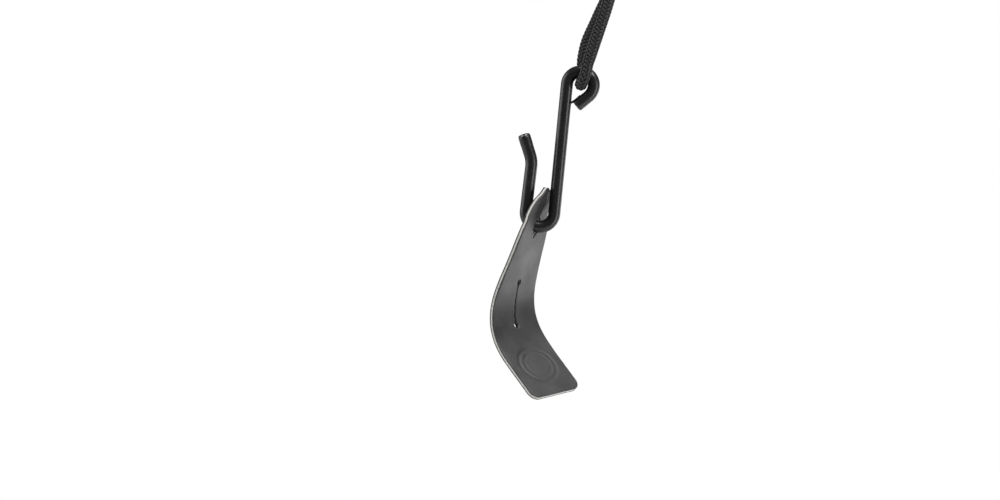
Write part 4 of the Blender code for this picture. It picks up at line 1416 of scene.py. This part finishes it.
def make_end_tab(label, side, leather, thread):
    inset = END_TAB_EDGE
    high = END_TAB_LOW + END_TAB_THICK
    rows = rounded_rows(inset, high, END_TAB_LOW, (0, 25, 50, 70, 90))
    holes = [circle(side * length_at(RIVET_AT), RIVET_HOLE + inset),
             circle(side * length_at(EYELET_AT), EYELET_HOLE + inset)]
    sewn = spaced(end_tab_outline(side, 1.8 * MM), 0.3 * MM)

    def groove(s, u):
        """The line that the stitches lie in."""
        away = distance_to(np.column_stack([s, u]), sewn)
        return 0.25 * MM * np.exp(-((away / (0.5 * MM)) ** 2))

    node = "end_tab_" + label
    tab = plate(node + "_leather", end_tab_outline(side, inset), holes, 0.9 * MM, rows, BAND,
                leather, groove)
    carried(sharpen(facing_out(tab), 50), "band_leather", "neck_band", node)
    line = BAND(sewn[:, 0], sewn[:, 1], high - 0.1 * MM)
    run = stitches(node + "_stitches", [(line, outward_at(sewn[:, 0]))], thread)
    carried(run, "band_leather", "neck_band")


def rivet_profiles(top):
    """A domed cap on its shank, and the washer behind it."""
    cap, tall, low = 4.5 * MM, 1.45 * MM, top + 0.35 * MM
    dome = [(cap * np.sin(t), low + tall * np.cos(t))
            for t in np.radians((1, 10, 20, 30, 40, 50, 60, 70, 78, 84, 89))]
    shank = [(cap, top + 0.15 * MM), (cap - 0.2 * MM, top), (1.5 * MM, top), (1.5 * MM, -0.7 * MM),
             (1.3 * MM, -0.85 * MM), (0.02 * MM, -0.85 * MM)]
    washer = [(1.85 * MM, -0.4 * MM), (2.3 * MM, -0.3 * MM), (cap - 0.5 * MM, -0.3 * MM),
              (cap - 0.1 * MM, -0.45 * MM), (cap, -0.7 * MM), (cap - 0.15 * MM, -1.0 * MM),
              (cap - 0.6 * MM, -1.12 * MM), (1.9 * MM, -1.12 * MM), (1.8 * MM, -1.0 * MM)]
    return dome + shank, washer


def eyelet_profiles(top, low):
    """A barrel with a rolled flange, and the washer under it."""
    bore, flange, rim = 3.0 * MM, 5.4 * MM, 0.75 * MM
    middle, reach = (bore + flange) / 2, (flange - bore) / 2
    roll = [(middle - reach * np.cos(t), top + rim * np.sin(t))
            for t in np.radians(np.arange(0, 181, 15))]
    wall = bore + 0.6 * MM
    barrel = [*roll, (flange - 0.3 * MM, top), (wall, top), (wall, low - 0.1 * MM),
              (bore + 0.3 * MM, low - 0.2 * MM), (bore, low - 0.1 * MM)]
    hole, edge = bore + 0.7 * MM, flange - 0.2 * MM
    washer = [(hole, low - 0.05 * MM), (edge, low - 0.05 * MM), (flange, low - 0.2 * MM),
              (edge, low - 0.45 * MM), (bore + 1.2 * MM, low - 0.7 * MM), (hole, low - 0.65 * MM)]
    return barrel, washer


def make_fittings(label, side, nickel):
    """The rivet, eyelet and their washers at one end of the band."""
    top = END_TAB_LOW + END_TAB_THICK + GAP
    rivet, rivet_washer = rivet_profiles(top)
    eyelet, eyelet_washer = eyelet_profiles(top, END_TAB_LOW - GAP)
    for node, ending, place, profile, closed in (
        ("rivet_" + label, "_cap", RIVET_AT, rivet, False),
        ("rivet_washer_" + label, "_disc", RIVET_AT, rivet_washer, True),
        ("eyelet_" + label, "_barrel", EYELET_AT, eyelet, True),
        ("eyelet_washer_" + label, "_ring", EYELET_AT, eyelet_washer, True),
    ):
        s = side * length_at(place)
        piece = turned(node + ending, BAND(s, 0.0, 0.0), outward_at(s), profile, nickel, closed)
        carried(piece, "fittings", "neck_band", node)


def make_band(nickel):
    """The band's cover, foam, lining, tapes and thread, and what is fixed to its two ends."""
    carried(make_cover(), "band_leather", "neck_band", "band_cover")
    carried(make_padding(), "foam", "neck_band", "band_padding")
    carried(make_lining(), "lining", "neck_band", "band_lining")
    thread = thread_look()
    for run in make_band_stitches(thread):
        carried(run, "band_leather", "neck_band")
    for node, side in (("binding_upper", 1), ("binding_lower", -1)):
        carried(make_binding(node + "_tape", side), "band_leather", "neck_band", node)
    leather = leather_look("end_tab_leather")
    for label, side in SIDES:
        make_end_tab(label, side, leather, thread)
        make_fittings(label, side, nickel)


# ---- upper cords and adjuster ----


def upper_route(side):
    """From the stop up through the outer hole, round the eyelet and back to the inner hole."""
    s = side * length_at(EYELET_AT)
    out = outward_at(s)
    hole = BAND(s, 0.0, END_TAB_LOW + END_TAB_THICK / 2)
    up = np.array((0.0, 0.0, 1.0))
    outer = ADJUSTER + (side * OUTER_HOLE_X, 0, 0)
    inner = ADJUSTER + (side * INNER_HOLE_X, 0, 0)
    down = unit(ADJUSTER + (side * CORD_PAIR_X, 0, BLOCK + 1 * MM) - hole)
    down = unit(down - down.dot(out) * out)
    pivot = hole + CORD_TURN * down
    turn = [pivot + CORD_TURN * (np.sin(t) * -out - np.cos(t) * down)
            for t in np.radians((0, 30, 60, 90, 120, 150, 180))]
    start = outer - (BLOCK + STOP_LENGTH + 0.6 * MM) * up
    end = inner + UPPER_CORD_END * up
    clear = BLOCK + 7 * MM
    runs = []
    for low, bore, far in ((start, outer, turn[0]), (end, inner, turn[-1])):
        above = bore + clear * up + 0.06 * (far - bore) * (1, 1, 0)
        halfway = bore * 0.5 + far * 0.5 + clear / 2 * up
        runs.append([low, bore + (BLOCK - 2 * MM) * up, bore + BLOCK * up, above, halfway])
    return [*runs[0], *turn, *runs[1][::-1]]


def make_upper_cord(label, side):
    cord, line = braided_cord("upper_cord_" + label + "_braid", upper_route(side))
    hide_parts("upper_cord_" + label)
    hole = BAND(side * length_at(EYELET_AT), 0.0, END_TAB_LOW)
    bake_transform(cord)


def adjuster_outline(inset):
    """A long oval with finger flutes round both ends."""
    width, depth = ADJUSTER_HIGH[0] - ADJUSTER_LOW[0], ADJUSTER_HIGH[1] - ADJUSTER_LOW[1]
    corner = depth / 2
    loop = []
    for sign in (1, -1):
        for turn in np.radians(np.arange(-90, 91, 5)):
            flute = FLUTE * (1 - np.cos(turn * 16)) * (abs(turn) < FLUTES_END)
            reach = corner - inset - flute
            x = sign * (width / 2 - corner + reach * np.cos(turn))
            loop.append((x, sign * reach * np.sin(turn)))
    return np.array(loop)


def make_adjuster():
    """The moulded block with its four rounded bores."""
    inset = 0.9 * MM
    rows = rounded_rows(inset, BLOCK, -BLOCK, (0, 22, 45, 68, 90))
    bores = (-OUTER_HOLE_X, -INNER_HOLE_X, INNER_HOLE_X, OUTER_HOLE_X)
    holes = [circle(x, ADJUSTER_BORE + inset) for x in bores]

    def place(s, u, height):
        return ADJUSTER + np.column_stack([s, u, height])

    outline = adjuster_outline(inset)
    body = plate("adjuster_block", outline, holes, 0.8 * MM, rows, place, moulded_look())
    carried(sharpen(facing_out(body), 40), "adjuster", "adjuster", "adjuster_body")


def make_cord_stop(label, side, nickel):
    """A ferrule with two crimped grooves and rounded ends."""
    out, bore, long = 3.3 * MM, 2.3 * MM, STOP_LENGTH
    end = [(bore, -0.25 * MM), (bore + 0.25 * MM, 0.0), (out - 0.45 * MM, 0.0),
           (out - 0.12 * MM, -0.15 * MM), (out, -0.45 * MM)]
    groove = out - 0.30 * MM
    profile = list(end)
    for crimp in (-2.2 * MM, -4.4 * MM):
        profile += [(out, crimp + 0.7 * MM), (groove, crimp + 0.25 * MM),
                    (groove, crimp - 0.25 * MM), (out, crimp - 0.7 * MM)]
    profile += [(r, -long - z) for r, z in end[::-1]]
    top = ADJUSTER + (side * OUTER_HOLE_X, 0, -BLOCK - GAP)
    node = "cord_stop_" + label
    stop = turned(node + "_ferrule", top, (0, 0, 1), profile, nickel, closed=True)
    carried(stop, "fittings", "adjuster", node)


def dress(name, look):
    """Gives a CAD node that stays in view its own material."""
    mesh = bpy.data.objects[name].data
    mesh.materials.clear()
    mesh.materials.append(look)


CORD_LOOK = cord_look()
CORD_CORE_LOOK = cord_core_look()

make_camera()
make_stage()
NICKEL = nickel_look()
make_band(NICKEL)
make_adjuster()
for LABEL, SIDE in SIDES:
    make_cord_stop(LABEL, SIDE, NICKEL)
for LABEL, SIDE in SIDES:
    make_upper_cord(LABEL, SIDE)
make_lower_cord()
make_hook()
make_tab()
dress("hook_wire", steel_look())
